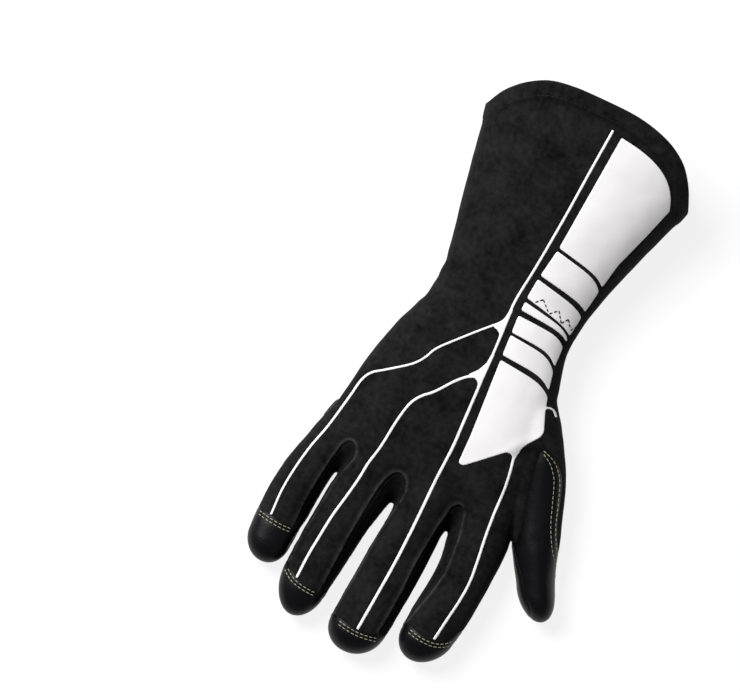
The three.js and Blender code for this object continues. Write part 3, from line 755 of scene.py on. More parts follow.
def seam_distances(bm, points, panel):
    """Every vertex's distance from the nearest seam of each kind, and from the hem."""
    heights = above_seam(points)
    ends = {"gusset": [], "wrist": [], "edge": [], "side": [], "hem": []}
    for edge in bm.edges:
        a, b = edge.verts
        faces = edge.link_faces
        if len(faces) == 1:
            kind = "hem"
        elif len(faces) == 2 and panel[faces[0].index] != panel[faces[1].index]:
            numbers = (panel[face.index] for face in faces)
            kind = seam_kind(*numbers, min(heights[a.index], heights[b.index]))
        else:
            continue
        ends[kind] += [a.co.copy(), (a.co + b.co) / 2]
    return {kind: nearest_distance(points, targets) for kind, targets in ends.items()}


def finger_side():
    """The knuckle patch's edge at the fingers: a tab on each finger, and a dip between two."""
    line = []
    for start, end, out, between in FINGER_TABS:
        side = out - TAB_CORNER
        line += [(start, between + TAB_RISE), (start + TAB_LEAN, side), (start + TAB_CORNER, out)]
        line += [(end - TAB_CORNER, out), (end - TAB_LEAN, side), (end, between + TAB_RISE)]
        line += [(end + past, between + up) for past, up in DIP]
    return smooth_line(line[:-len(DIP)])


PATCH_OUTLINES = {
    "heel": outline_of(
        HEEL_EDGE, [(70, 51 - PATCH_GAP)], shifted(smooth_line(GRIP_EDGE[1:])[::-1], PATCH_GAP).tolist()
    ),
    "grip": outline_of(
        GRIP_EDGE, shifted(smooth_line(KNUCKLE_EDGE), -PATCH_GAP)[::-1].tolist(), list(GRIP_THUMB_END)
    ),
    "knuckle": outline_of(KNUCKLE_EDGE, [(70, 92)], finger_side()[::-1].tolist()),
}

# Rows of cream stitches: on the back, and under the palm
THUMB_ROWS = (
    ((-48.1, 43.8), (-54.9, 46.3), (-61.6, 53.1), (-66.5, 65), (-70.7, 77.1), (-76.4, 88.2), (-81, 94.8)),
    ((-48.9, 45.4), (-53.7, 48.3), (-58.9, 54.4), (-63.7, 66.1), (-67.6, 76.6), (-73, 87), (-79.6, 96.4)),
)
HEEL_INNER_ROW = ((-18.9, 50.7), (5.2, 39.7), (27.8, 32.9), (51.6, 26.3), (66, 22))
GRIP_MIDDLE_ROW = (
    (-46.6, 79), (-36.6, 78.3), (-21.8, 77.4), (-5.8, 74.3), (9.6, 72.3), (29.2, 70.3), (47.5, 66.4),
    (68, 62),
)
GRIP_EDGE_INSET = 1.7
ROW_INSETS = (1.1, 3.1)
TIP_ROW_INSETS = (1.3, 3.0)
TIP_ROW_ENDS = {"index": (-49.5, -24), "middle": (-11.2, 12.4), "ring": (28.4, 48.5), "little": (53.4, 75)}
ZIGZAG = (
    (-11.3, -24.3), (-14.6, -27.4), (-20.4, -21.9), (-24.4, -25.7), (-28.1, -20.2), (-30.8, -23.6),
    (-34.2, -18.8), (-36.3, -21.9),
)
ZIGZAG_POINTS = 12  # along one limb


def thumb_rows():
    return [smooth_line(row) for row in THUMB_ROWS]


def tip_rows():
    rows = []
    for finger, edge in TIP_WRAPS.items():
        start, end = TIP_ROW_ENDS[finger]
        for inset in TIP_ROW_INSETS:
            row = shifted(smooth_line(edge), inset)
            rows.append(row[(row[:, 0] > start) & (row[:, 0] < end)])
    return rows


def palm_rows():
    rows = [smooth_line(HEEL_INNER_ROW), smooth_line(GRIP_MIDDLE_ROW)]
    rows.append(shifted(smooth_line(GRIP_EDGE[1:]), -GRIP_EDGE_INSET))
    for edge in (HEEL_EDGE, GRIP_EDGE, KNUCKLE_EDGE):
        rows += [shifted(smooth_line(edge), inset) for inset in ROW_INSETS]
    rows += [shifted(finger_side(), -inset) for inset in ROW_INSETS]
    rows += [shifted(smooth_line(THUMB_UNDER_TIP), inset) for inset in ROW_INSETS]
    return rows


def tip_fading(points):
    """Falls from one to nearly nothing where the seams run out at the fingertips' wraps."""
    edges = [distance_to_line(points, smooth_line(edge), 8.0)[0] for edge in TIP_WRAPS.values()]
    return np.clip(np.min(edges, axis=0) / TIP_FADE, 0.1, 1)


def seam_relief(seams, here, up):
    """Height to add along the seams: a valley with soft rolls beside it, and piping round the gussets."""
    rise = profile(np.minimum(seams["wrist"], seams["side"]), SEWN_SEAM)
    distance = seams["gusset"]
    sunk = 0.25 + 0.75 * np.clip(1.4 * up, 0, 1)
    inside = profile(distance, GUSSET_SEAM) - sunk * eased(np.clip(distance / GUSSET_FALL, 0, 1))
    return rise + np.where(here > THUMB, inside, profile(distance, PIPING))


def hem_relief(distance):
    """The hem is folded over, so it is thicker up to its row of stitches."""
    share = np.clip((HEM_DEPTH + 1 - distance) / HEM_STEP, 0, 1)
    return HEM_THICKNESS * eased(share) + profile(distance, HEM_PROFILE)


def row_relief(points, height):
    """Stitches pull a shallow groove."""
    rise = np.zeros(len(points))
    for rows, side in ((thumb_rows() + tip_rows(), height > 0), (palm_rows(), height < 0)):
        for row in rows:
            distance, _ = distance_to_line(points, row, 4.0)
            rise += np.where(side, profile(distance, ROW_GROOVE), 0)
    return rise


def gather_relief(points, height):
    """Gathers that the wrist's elastic pulls in the leather, and fainter ones in the cloth."""
    x, y = points[:, 0], points[:, 1]
    from_seam = y - WRIST_SEAM_Y
    puffs = np.zeros(len(points))
    for spacing, share, phase, lean in GATHERS:
        puffs += share * (np.abs(np.sin(np.pi * (x + lean * y) / spacing + phase)) - 0.64)
    uneven = 0.75 + 0.25 * np.sin(x / 8.3 + 1) * np.sin(x / 3.1)
    up = np.clip(from_seam, 0, None)
    down = np.clip(-from_seam, 0, None)
    leather = np.exp(-up / LEATHER_GATHERS) * (1 - np.exp(-up / GATHER_START))
    cloth = 0.45 * np.exp(-down / CLOTH_GATHERS) * (1 - np.exp(-down / GATHER_START))
    under = np.where(from_seam > 0, leather, cloth) * (height < 0)
    towards_little = np.clip((x - 6) / 34, 0, 1)
    over = 0.4 * towards_little * np.exp(-(((y + 14) / 14) ** 2)) * (height > 0)
    return GATHER_DEPTH * puffs * uneven * (under + over)


# Folds of the cloth and leather, deepest at their middle, and a ridge along the thumb
FOLDS = (  # side, width, depth, line
    (1, 2.6, 0.55, ((-46, 42), (-38, 50), (-30, 62))),
    (1, 4.2, -0.9, ((-65, 88), (-68, 95.6), (-74.5, 106), (-80.5, 117), (-82.5, 124))),
    (1, 3.0, 0.45, ((20, -30), (34, -24), (47, -27))),
    (1, 2.4, 0.4, ((14, -20), (28, -14), (44, -16))),
    (1, 2.6, 0.4, ((24, -6), (36, -2), (47, -6))),
    (1, 3.0, 0.3, ((-50, 122), (-37, 125), (-24, 122))),
    (1, 3.0, 0.3, ((-13, 131), (-1, 134), (12, 131))),
    (1, 3.0, 0.3, ((22, 126), (34, 130), (47, 126))),
    (1, 2.6, 0.25, ((53, 112), (62, 115), (72, 112))),
    (-1, 2.6, 0.8, ((-40, 30), (-30, 44), (-24, 62))),
    (-1, 2.4, 0.6, ((-47, 52), (-38, 60), (-30, 70))),
    (-1, 2.6, 0.6, ((-14, -2), (-6, 14), (2, 26))),
    (-1, 2.6, 0.5, ((14, -4), (20, 8), (26, 16))),
    (-1, 2.4, 0.6, ((-50, 116), (-38, 118), (-26, 116))),
    (-1, 2.4, 0.5, ((-50, 134), (-36, 137), (-24, 134))),
    (-1, 2.4, 0.6, ((-14, 120), (-2, 122), (10, 120))),
    (-1, 2.4, 0.5, ((-12, 142), (0, 145), (13, 142))),
    (-1, 2.4, 0.6, ((18, 118), (32, 120), (46, 117))),
    (-1, 2.4, 0.5, ((22, 138), (35, 141), (48, 138))),
    (-1, 2.2, 0.5, ((50, 108), (61, 110), (72, 108))),
    (-1, 2.2, 0.45, ((54, 124), (63, 127), (73, 124))),
)


def fold_relief(points, height):
    rise = np.zeros(len(points))
    roll, off, spread = FOLD_ROLLS
    for side, width, depth, line in FOLDS:
        distance, along = distance_to_line(points, smooth_line(line, 2.0), 3 * width)
        taper = np.where(side * height > 0, np.sin(np.pi * along) ** FOLD_TAPER, 0)
        rolls = roll * bump(distance, off * width, spread * width)
        rise -= depth * taper * (bump(distance, 0, width) - rolls)
    return rise


def thumb_groove(points, height):
    """The cloth sinks in between the thumb and the hand."""
    distance, _ = distance_to_line(points, smooth_line(THUMB_VALLEY), 10.0)
    return np.where(height > 0, profile(distance, THUMB_GROOVE), 0)


def undulation(points):
    """The cloth and leather aren't quite even."""
    waves = [(height, size, Vector(shift)) for height, size, shift in UNEVENNESS]
    return np.array([
        sum(height * noise.noise(Vector(point) / size + shift) for height, size, shift in waves)
        for point in points
    ])


def add_relief(bm, panel, depth):
    """Moves the skin for its seams, rows, gathers and folds, and notes painted shade for its hollows and a
    painted highlight for the piping.
    """
    bm.normal_update()
    points = positions(bm)
    normals = np.array([vert.normal[:] for vert in bm.verts])
    seams = seam_distances(bm, points, panel)
    height = above_seam(points)
    here = panels_at(points)
    worked = tip_fading(points) * seam_relief(seams, here, normals[:, 2])
    worked += row_relief(points, height) + profile(seams["edge"], EDGE_SEAM)
    worked += gather_relief(points, height) + fold_relief(points, height) + thumb_groove(points, height)
    rise = depth * (worked + undulation(points)) + hem_relief(seams["hem"])
    points += normals * rise[:, None]
    points[:, 2] = np.maximum(points[:, 2], rest_height(points[:, 1]))
    # A painted highlight lightens the colour along the gussets' raised piping, and painted shade darkens it
    # in the hollows and the hem's stitch groove.
    painted_highlight = np.where(here > THUMB, 0, profile(seams["gusset"], PIPING_PAINTED_HIGHLIGHT))
    painted_light_amounts = np.clip(-worked, 0, 1) + profile(seams["hem"], HEM_PAINTED_SHADE) - painted_highlight
    painted_shade_and_highlight = bm.verts.layers.float.new("painted_shade_and_highlight")
    for vert, point, painted_light_amount in zip(bm.verts, points, painted_light_amounts):
        vert.co = point
        vert[painted_shade_and_highlight] = painted_light_amount


def hem_frames(ring):
    """At each vertex of the hem: its place, its direction out of the skin and that off the hem's edge."""
    places = np.array([vert.co[:] for vert in ring])
    normals = np.array([vert.normal[:] for vert in ring])
    along = np.gradient(HEM_CURVE, axis=0)
    for place in places:
        near = np.linalg.norm(places - place, axis=1) < 3.0
        normal = Vector(normals[near].mean(0)).normalized()
        on_curve = np.linalg.norm(HEM_CURVE - place[:2], axis=1) < 4.0
        run = along[on_curve].mean(0)
        off = Vector((run[1], -run[0], 0))
        yield Vector(place), normal, (off - normal * off.dot(normal)).normalized()


def fold_hem(bm):
    """Turns the hem's edge in, round a lip and back along the inside."""
    bm.normal_update()
    place = bm.verts.layers.int.new("hem_place")
    ring = [vert for vert in bm.verts if vert.is_boundary]
    for i, vert in enumerate(ring):
        vert[place] = i
    start = list(hem_frames(ring))
    edges = [edge for edge in bm.edges if edge.is_boundary]
    lip = np.radians(range(30, 181, 30))
    steps = [(HEM_LIP * math.sin(turn), HEM_LIP * (1 - math.cos(turn))) for turn in lip]
    steps += [(-HEM_TURN / 3, 2 * HEM_LIP), (-2 * HEM_TURN / 3, 2 * HEM_LIP)]
    steps.append((-HEM_TURN, 2 * HEM_LIP - HEM_TURN_RISE))
    for out, under in steps:
        made = bmesh.ops.extrude_edge_only(bm, edges=edges)["geom"]
        edges = [item for item in made if isinstance(item, bmesh.types.BMEdge)]
        for vert in [item for item in made if isinstance(item, bmesh.types.BMVert)]:
            at, normal, off = start[vert[place]]
            vert.co = at + off * out - normal * under
            vert.co.z = max(vert.co.z, 0)


MADE = {}  # the skin, kept from one operator to the next


def glove_skin(form):
    """A copy of the cut and shaped skin, in table millimetres."""
    if "skin" not in MADE:
        bm = raw_skin(form.mesh_size / MM)
        cut_into_panels(bm)
        panel = panels_at(face_centres(bm))
        number = bm.faces.layers.int.new("panel")
        for face, value in zip(bm.faces, panel):
            face[number] = int(value)
        bm.faces.index_update()
        add_relief(bm, panel, form.relief)
        fold_hem(bm)
        MADE["skin"] = bm
    return MADE["skin"].copy()


# Pieces

def finished_piece(bm, name, material, slot, *nodes):
    """The piece made of a mesh in table millimetres, placed in the frame."""
    bm.transform(TO_FRAME)
    for face in bm.faces:
        face.smooth = True
    mesh = bpy.data.meshes.new(name)
    bm.to_mesh(mesh)
    bm.free()
    mesh.materials.append(material)
    obj = bpy.data.objects.new(name, mesh)
    bpy.context.scene.collection.objects.link(obj)
    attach(obj, BODY_NAME)
    if nodes:
        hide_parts(*nodes)
    return obj


def make_panel(form, panel, name, material, slot, node):
    bm = glove_skin(form)
    number = bm.faces.layers.int["panel"]
    keep_faces(bm, [face[number] == panel for face in bm.faces])
    return finished_piece(bm, name, material, slot, node)


def cut_out(skin, field, finer=False):
    """The part of a skin where the field is below zero, with a clean edge."""
    bm = skin.copy()
    near = field(positions(bm)) < CUT_MARGIN
    keep_faces(bm, [any(near[vert.index] for vert in face.verts) for face in bm.faces])
    if finer:
        bmesh.ops.subdivide_edges(bm, edges=bm.edges, cuts=1, use_grid_fill=True)
    score(bm, field)
    keep_faces(bm, field(face_centres(bm)) < 0)
    return bm


def raise_layer(bm, height, rounding, relief=None):
    """Lifts a sheet off the skin, rounds its edge over and carries it down to the skin."""
    bm.normal_update()
    points = positions(bm)
    out = bm.verts.layers.float_vector.new("out")
    border = [vert.co.copy() for vert in bm.verts if vert.is_boundary]
    distance = nearest_distance(points, border)
    share = np.clip(distance / rounding, 0, 1)
    rise = height * (LAYER_EDGE + (1 - LAYER_EDGE) * np.sqrt(1 - (1 - share) ** 2))
    if relief is not None:
        rise = rise + relief(points, distance)
    for vert, up in zip(bm.verts, rise):
        vert[out] = vert.normal
        vert.co += vert.normal * up
        vert.co.z = max(vert.co.z, LEAST_HEIGHT)
    edges = [edge for edge in bm.edges if edge.is_boundary]
    made = bmesh.ops.extrude_edge_only(bm, edges=edges)["geom"]
    for vert in [item for item in made if isinstance(item, bmesh.types.BMVert)]:
        vert.co -= vert[out] * (height + LAYER_SINK)


def outline_field(outline, seam_gap, side):
    """Below zero inside an outline, on one side of the side seam and seam_gap away from it."""
    def field(points):
        return np.maximum(outside_distance(points, outline), seam_gap - side * above_seam(points))

    return field


def quilting(points, distance):
    """A patch swells between its rows of stitches."""
    row_distance = np.full(len(points), FAR)
    for row in palm_rows():
        row_distance = np.minimum(row_distance, distance_to_line(points, row, 6.0)[0])
    swell = SWELL * (1 - bump(row_distance, 0, SWELL_WIDTH)) * np.clip(distance / 3, 0, 1)
    return swell + profile(row_distance, QUILT_GROOVE)


def make_patch(form, name, material, outline, node):
    bm = cut_out(glove_skin(form), outline_field(outline, PATCH_BELOW_SEAM, -1), finer=True)
    raise_layer(bm, PATCH_HEIGHT, PATCH_ROUNDING, quilting)
    return finished_piece(bm, name, material, "leather", node)


# White print

def block_end(end):
    """A block's end, from the panel's inner edge to its outer edge."""
    y, rise, late_rise = end
    points = []
    for share in np.linspace(0, 1, BLOCK_END_POINTS):
        up = y + rise * share + late_rise * share**LATE_RISE
        inner, outer = row_at(PANEL_EDGE, up)
        points.append((inner + (outer - inner) * share, up))
    return points


def cuff_block():
    start, end = CUFF_BLOCK
    corner_end = CUFF_BLOCK_CORNER[-1][1]
    outer_edge = [(outer, y) for y, _, outer in PANEL_EDGE if corner_end < y < end[0]]
    corner = smooth_line([(row_at(PANEL_EDGE, start)[0], start), *CUFF_BLOCK_CORNER])
    return np.vstack([corner, outer_edge, block_end(end)[::-1]])


def rounded(outline, radius):
    """An outline with its corners rounded."""
    points = []
    corners = [np.array(corner, float) for corner in outline]
    for before, corner, after in zip([corners[-1], *corners], corners, [*corners[1:], corners[0]]):
        ends = []
        for neighbour in (before, after):
            run = neighbour - corner
            length = np.linalg.norm(run)
            ends.append(corner + run * min(radius / length, 0.5) if length else corner)
        start, end = ends
        for t in (0, 0.33, 0.67, 1):
            points.append(start * (1 - t) ** 2 + corner * 2 * t * (1 - t) + end * t**2)
    return points


def joined(first, second, fillet):
    """Two fields as one, with the corner between them filled."""
    share = np.clip(1 - np.abs(first - second) / fillet, 0, 1)
    return np.minimum(first, second) - share**2 * fillet / 4


def stripe_field(points, name):
    return distance_to_line(points, smooth_line(STRIPES[name]), 6.0)[0] - STRIPE_WIDTHS[name] / 2


def hand_block_field(points):
    outline = rounded([*block_end(HAND_BLOCK_FROM), *HAND_BLOCK_ARROW], PRINT_CORNER)
    field = joined(outside_distance(points, outline), stripe_field(points, "index"), INDEX_FILLET)
    return joined(field, stripe_field(points, "thumb"), THUMB_FILLET)


def finger_stripe_field(points):
    """Below zero on the stripes of the middle, ring and little finger, which part from one."""
    field = np.minimum(stripe_field(points, "long"), stripe_field(points, "middle"))
    for name in ("little", "ring"):
        web = outside_distance(points, rounded(STRIPE_WEBS[name], WEB_CORNER))
        field = joined(field, np.minimum(stripe_field(points, name), web), STRIPE_FILLET)
    return field


def print_fields():
    """For each printed piece, a field below zero on it."""
    outlines = {"side_block_1": rounded(cuff_block(), PRINT_CORNER)}
    for name, (start, end) in WRIST_BLOCKS.items():
        outlines[name] = rounded([*block_end(start), *block_end(end)[::-1]], PRINT_CORNER)
    fields = {}
    for name, outline in outlines.items():
        fields[name] = lambda points, outline=outline: outside_distance(points, outline)
    fields["side_block_7"] = hand_block_field
    fields["finger_stripes"] = finger_stripe_field
    return fields


def make_print(form, node, field, material, height):
    def above(points):
        return np.maximum(field(points), PRINT_ABOVE_SEAM - above_seam(points))

    bm = cut_out(glove_skin(form), above, finer=True)
    raise_layer(bm, height, PRINT_ROUNDING)
    return finished_piece(bm, node + "_print", material, "white_print", node)


# Lining

def make_lining(form, material):
    """The coarser inner skin, which the folded hem covers at the mouth."""
    bm = raw_skin(form.lining_mesh_size / MM, form.wall / MM)

    def behind_hem(points):
        return beyond_hem(points) - HEM_TURN / 2

    score(bm, behind_hem)
    keep_faces(bm, behind_hem(face_centres(bm)) > 0)
    bmesh.ops.reverse_faces(bm, faces=bm.faces)
    return finished_piece(bm, "inner_lining", material, "cuff_cloth")


# Stitching

def surface_tree(names):
    """The faces of finished pieces, to lay stitches on."""
    corners, faces = [], []
    for name in names:
        mesh = bpy.data.objects[name].data
        start = len(corners)
        corners += [vert.co.copy() for vert in mesh.vertices]
        faces += [[start + i for i in face.vertices] for face in mesh.polygons]
    return BVHTree.FromPolygons(corners, faces)


def laid(tree, row, above, facing):
    """Runs of points and normals where a row meets a surface that faces up, or down, enough."""
    side = 1 if above else -1
    runs = [[]]
    for x, y in row:
        start = TO_FRAME @ Vector((x, y, side * FAR))
        hit, normal, _, _ = tree.ray_cast(start, Vector((0, 0, -side)))
        steep = hit is None or side * normal.z < facing
        if steep or (runs[-1] and (hit - runs[-1][-1][0]).length > ROW_BREAK * MM):
            runs.append([])
        if not steep:
            runs[-1].append((hit, normal))
    return [run for run in runs if len(run) > 2]


def sew(bm, run, style, weight):
    """Stitches along a run, each a short rounded thread."""
    points = np.array([point[:] for point, _ in run])
    normals = np.array([normal[:] for _, normal in run])
    along = np.concatenate([[0], np.cumsum(np.linalg.norm(np.diff(points, axis=0), axis=1))])
    thickness = style.thickness * weight
    for middle in np.arange(style.length / 2, along[-1] - style.length / 3, style.length + style.gap):
        ends = middle + np.array([-0.5, 0.5]) * style.length
        start, end = ([np.interp(place, along, points[:, k]) for k in range(3)] for place in ends)
        normal = Vector([np.interp(middle, along, normals[:, k]) for k in range(3)]).normalized()
        direction = (Vector(end) - Vector(start)).normalized()
        side = direction.cross(normal).normalized()
        normal = side.cross(direction)
        turned = Matrix((side, normal, direction)).transposed().to_4x4()
        size = Matrix.Diagonal((thickness / 2, thickness / 2 / THREAD_FLATNESS, style.length / 2, 1))
        at = (Vector(start) + Vector(end)) / 2 + normal * thickness * THREAD_LIFT
        at.z = max(at.z, thickness / 2 + LEAST_HEIGHT * MM)
        bmesh.ops.create_uvsphere(
            bm, u_segments=8, v_segments=6, radius=1, matrix=Matrix.Translation(at) @ turned @ size
        )


def make_stitches(name, rows, above, style, material, facing=0.42, weight=1.0):
    """One piece of all the stitches on some rows, laid on the pieces already made."""
    tree = surface_tree([obj.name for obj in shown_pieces() if obj.get("glove_surface")])
    bm = bmesh.new()
    for row in rows:
        for run in laid(tree, row, above, facing):
            sew(bm, run, style, weight)
    if not bm.verts:
        raise ValueError(name + ": its rows meet no surface")
    bm.transform(TO_FRAME.inverted())
    return finished_piece(bm, name, material, "thread")


# Finish

def effect(name, inputs, output, kind):
    """An empty shader node group with float inputs and one output."""
    tree = bpy.data.node_groups.new(name, "ShaderNodeTree")
    for label, value in inputs.items():
        socket = tree.interface.new_socket(label, in_out="INPUT", socket_type="NodeSocketFloat")
        socket.default_value = value
    tree.interface.new_socket(output, in_out="OUTPUT", socket_type=kind)
    return tree, tree.nodes.new("NodeGroupInput"), tree.nodes.new("NodeGroupOutput")


def add_node(tree, kind, links=(), **values):
    """A node with its own settings, values on its inputs, and links from other sockets."""
    node = tree.nodes.new(kind)
    for label, value in values.items():
        if label in node.inputs:
            node.inputs[label].default_value = value
        else:
            setattr(node, label, value)
    for label, source in dict(links).items():
        tree.links.new(source, node.inputs[label])
    return node


def object_place(tree):
    return tree.nodes.new("ShaderNodeTexCoord").outputs["Object"]


def math_node(tree, operation, first, second):
    """Sum, product or other result of two sockets or numbers."""
    node = tree.nodes.new("ShaderNodeMath")
    node.operation = operation
    for socket, value in zip(node.inputs, (first, second)):
        if isinstance(value, bpy.types.NodeSocket):
            tree.links.new(value, socket)
        else:
            socket.default_value = value
    return node.outputs[0]


def tone_group():
    """Brushed patches lighter and darker than the rest, with painted shade in the creases and a painted
    highlight on the raised piping.
    """
    tree, given, out = effect("Uneven Tone and Painted Light", {"Patchiness": 0.3, "Crease": 0.5}, "Tone", "NodeSocketFloat")
    place = object_place(tree)
    broad = add_node(tree, "ShaderNodeTexNoise", {"Vector": place}, Scale=70.0, Detail=3.0)
    fine = add_node(tree, "ShaderNodeTexNoise", {"Vector": place}, Scale=330.0, Detail=3.0)
    mixed = math_node(tree, "ADD", broad.outputs["Fac"], fine.outputs["Fac"])
    spread = math_node(tree, "MULTIPLY", math_node(tree, "SUBTRACT", mixed, 1.0), given.outputs["Patchiness"])
    painted_shade_and_highlight = add_node(tree, "ShaderNodeAttribute", attribute_name="painted_shade_and_highlight").outputs["Fac"]
    shade = math_node(tree, "SUBTRACT", 1.0, math_node(tree, "MULTIPLY", painted_shade_and_highlight, given.outputs["Crease"]))
    tone = math_node(tree, "MULTIPLY", math_node(tree, "ADD", 1.0, spread), shade)
    tree.links.new(tone, out.inputs["Tone"])
    return tree


FINE_RELIEFS = {  # the short fibres of cloth and the pebbles of leather: pattern, its output, its settings
    "Cloth Nap": ("ShaderNodeTexNoise", "Fac", {"Detail": 3.0}),
    "Leather Grain": ("ShaderNodeTexVoronoi", "Distance", {"feature": "SMOOTH_F1"}),
}


def fine_relief_group(name):
    """A nap or a grain, as fine relief of a surface."""
    pattern, output, settings = FINE_RELIEFS[name]
    tree, given, out = effect(name, {"Fineness": 1500.0, "Depth": 0.0001}, "Normal", "NodeSocketVector")
    links = {"Vector": object_place(tree), "Scale": given.outputs["Fineness"]}
    fine = add_node(tree, pattern, links, **settings)
    links = {"Height": fine.outputs[output], "Distance": given.outputs["Depth"]}
    raised = add_node(tree, "ShaderNodeBump", links, Strength=1.0)
    tree.links.new(raised.outputs["Normal"], out.inputs["Normal"])
    return tree


def place_group(tree, group, **values):
    """A node group placed in a material, with the material's own values."""
    node = tree.nodes.new("ShaderNodeGroup")
    node.node_tree = group
    for label, value in values.items():
        node.inputs[label].default_value = value
    return node


def surface_material(name, colour, tone=None, relief=None, **values):
    """A material whose colour varies by the tone group, with its painted shade and highlight, and whose
    relief is a nap or a grain.
    """
    material = bpy.data.materials.get(name)
    if material:
        return material
    material = bpy.data.materials.new(name)
    material.use_nodes = True
    tree = material.node_tree
    shader = tree.nodes["Principled BSDF"]
    shader.inputs["Base Color"].default_value = (*colour, 1)
    for label, value in values.items():
        shader.inputs[label.replace("_", " ")].default_value = value
    # Tone: patchiness, and the strength of the painted shade and painted highlight.
    if tone:
        group = bpy.data.node_groups.get("Uneven Tone and Painted Light") or tone_group()
        toned = place_group(tree, group, Patchiness=tone[0], Crease=tone[1])
        varied = add_node(tree, "ShaderNodeVectorMath", {1: toned.outputs["Tone"]}, operation="MULTIPLY")
        varied.inputs[0].default_value = colour
        tree.links.new(varied.outputs["Vector"], shader.inputs["Base Color"])
    if relief:
        kind, fineness, depth = relief
        group = bpy.data.node_groups.get(kind) or fine_relief_group(kind)
        raised = place_group(tree, group, Fineness=fineness, Depth=depth)
        tree.links.new(raised.outputs["Normal"], shader.inputs["Normal"])
    return material


def back_cloth(finish):
    return surface_material(
        "back cloth", finish.cloth_colour, (2.0, 0.6), ("Cloth Nap", 1500.0, 0.00025),
        Roughness=0.95, Specular_IOR_Level=0.06, Sheen_Weight=0.02, Sheen_Roughness=0.5,
    )


def cuff_cloth(finish):
    return surface_material(
        "cuff cloth", finish.cuff_colour, (1.0, 0.5), ("Cloth Nap", 2600.0, 0.0002),
        Roughness=0.9, Specular_IOR_Level=0.08, Sheen_Weight=0.02, Sheen_Roughness=0.4,
    )


def smooth_leather(finish):
    return surface_material(
        "smooth leather", finish.leather_colour, (0.3, 0.4), ("Leather Grain", 1100.0, 0.00006),
        Roughness=finish.leather_roughness, Specular_IOR_Level=0.18,
    )


def white_print(finish):
    return surface_material(
        "white print", finish.print_colour, (0.04, 0.15), ("Cloth Nap", 1500.0, 0.00004),
        Roughness=0.5, Specular_IOR_Level=0.3,
    )


def thread(name, colour):
    return surface_material(name, colour, Roughness=0.7, Specular_IOR_Level=0.25)


# Stage

def add_softbox(name, place, size, power):
    light = bpy.data.lights.new(name, "AREA")
    light.shape = "DISK"
    light.size = size
    light.energy = power
    softbox = bpy.data.objects.new(name, light)
    softbox.location = place
    softbox.rotation_euler = (Vector(CAMERA_TARGET) - softbox.location).to_track_quat("-Z", "Y").to_euler()
    bpy.context.scene.collection.objects.link(softbox)
    return softbox


def make_stage(stage):
    """A pale floor, soft light and the camera straight above."""
    scene = bpy.context.scene
    scene.view_settings.view_transform = "Standard"
    bm = bmesh.new()
    bmesh.ops.create_circle(bm, cap_ends=True, segments=FLOOR_SIDES, radius=FLOOR_RADIUS)
    mesh = bpy.data.meshes.new("studio floor")
    bm.to_mesh(mesh)
    bm.free()
    paint = surface_material(
        "floor paint", stage.floor_colour, Roughness=1.0, Specular_IOR_Level=0.0,
        Emission_Color=(1, 1, 1, 1), Emission_Strength=stage.floor_glow,
    )
    mesh.materials.append(paint)
    floor = bpy.data.objects.new("studio floor", mesh)
    scene.collection.objects.link(floor)
    key = add_softbox("key", KEY_PLACE, KEY_SIZE, stage.key_power)
    fill = add_softbox("fill", FILL_PLACE, FILL_SIZE, stage.fill_power)
    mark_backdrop(floor, key, fill)
    world = bpy.data.worlds.new("studio")
    world.use_nodes = True
    sky = world.node_tree.nodes["Background"]
    sky.inputs["Color"].default_value = (1, 1, 1, 1)
    sky.inputs["Strength"].default_value = stage.sky_strength
    scene.world = world
    lens = bpy.data.cameras.new("camera")
    lens.sensor_width = SENSOR_WIDTH
    lens.lens = lens.sensor_width * stage.camera_distance / PHOTO_WIDTH
    camera = bpy.data.objects.new("camera", lens)
    right, up = Vector(CAMERA_RIGHT), Vector(CAMERA_UP)
    turned = Matrix((right, up, right.cross(up))).transposed().to_4x4()
    over = Vector(CAMERA_TARGET) + Vector((0, 0, stage.camera_distance))
    camera.matrix_world = Matrix.Translation(over) @ turned
    scene.collection.objects.link(camera)
    scene.camera = camera


# Add-on

class GloveForm(bpy.types.PropertyGroup):
    mesh_size: bpy.props.FloatProperty(
        name="Mesh size", description="Distance between the skin's vertices", default=0.001, min=0.0005,
        unit="LENGTH",
    )
    lining_mesh_size: bpy.props.FloatProperty(
        name="Lining mesh size", description="Distance between the lining's vertices", default=0.002,
        min=0.001, unit="LENGTH",
    )
    wall: bpy.props.FloatProperty(
        name="Wall", description="Depth of the lining under the skin", default=0.0022, min=0.0005,
        unit="LENGTH",
    )
    relief: bpy.props.FloatProperty(
        name="Relief", description="How deep seams, gathers and folds are", default=1.0, min=0, max=2,
        subtype="FACTOR",
    )


class GlovePrint(bpy.types.PropertyGroup):
    height: bpy.props.FloatProperty(
        name="Height", description="How far the print stands off the cloth", default=0.0003, min=0.0001,
        unit="LENGTH",
    )


class GloveStitching(bpy.types.PropertyGroup):
    length: bpy.props.FloatProperty(
        name="Stitch", description="Length of a stitch", default=0.002, min=0.0005, unit="LENGTH"
    )
    gap: bpy.props.FloatProperty(
        name="Gap", description="Gap between two stitches", default=0.0006, min=0, unit="LENGTH"
    )
    thickness: bpy.props.FloatProperty(
        name="Thread", description="Thickness of the thread", default=0.00045, min=0.0001, unit="LENGTH"
    )


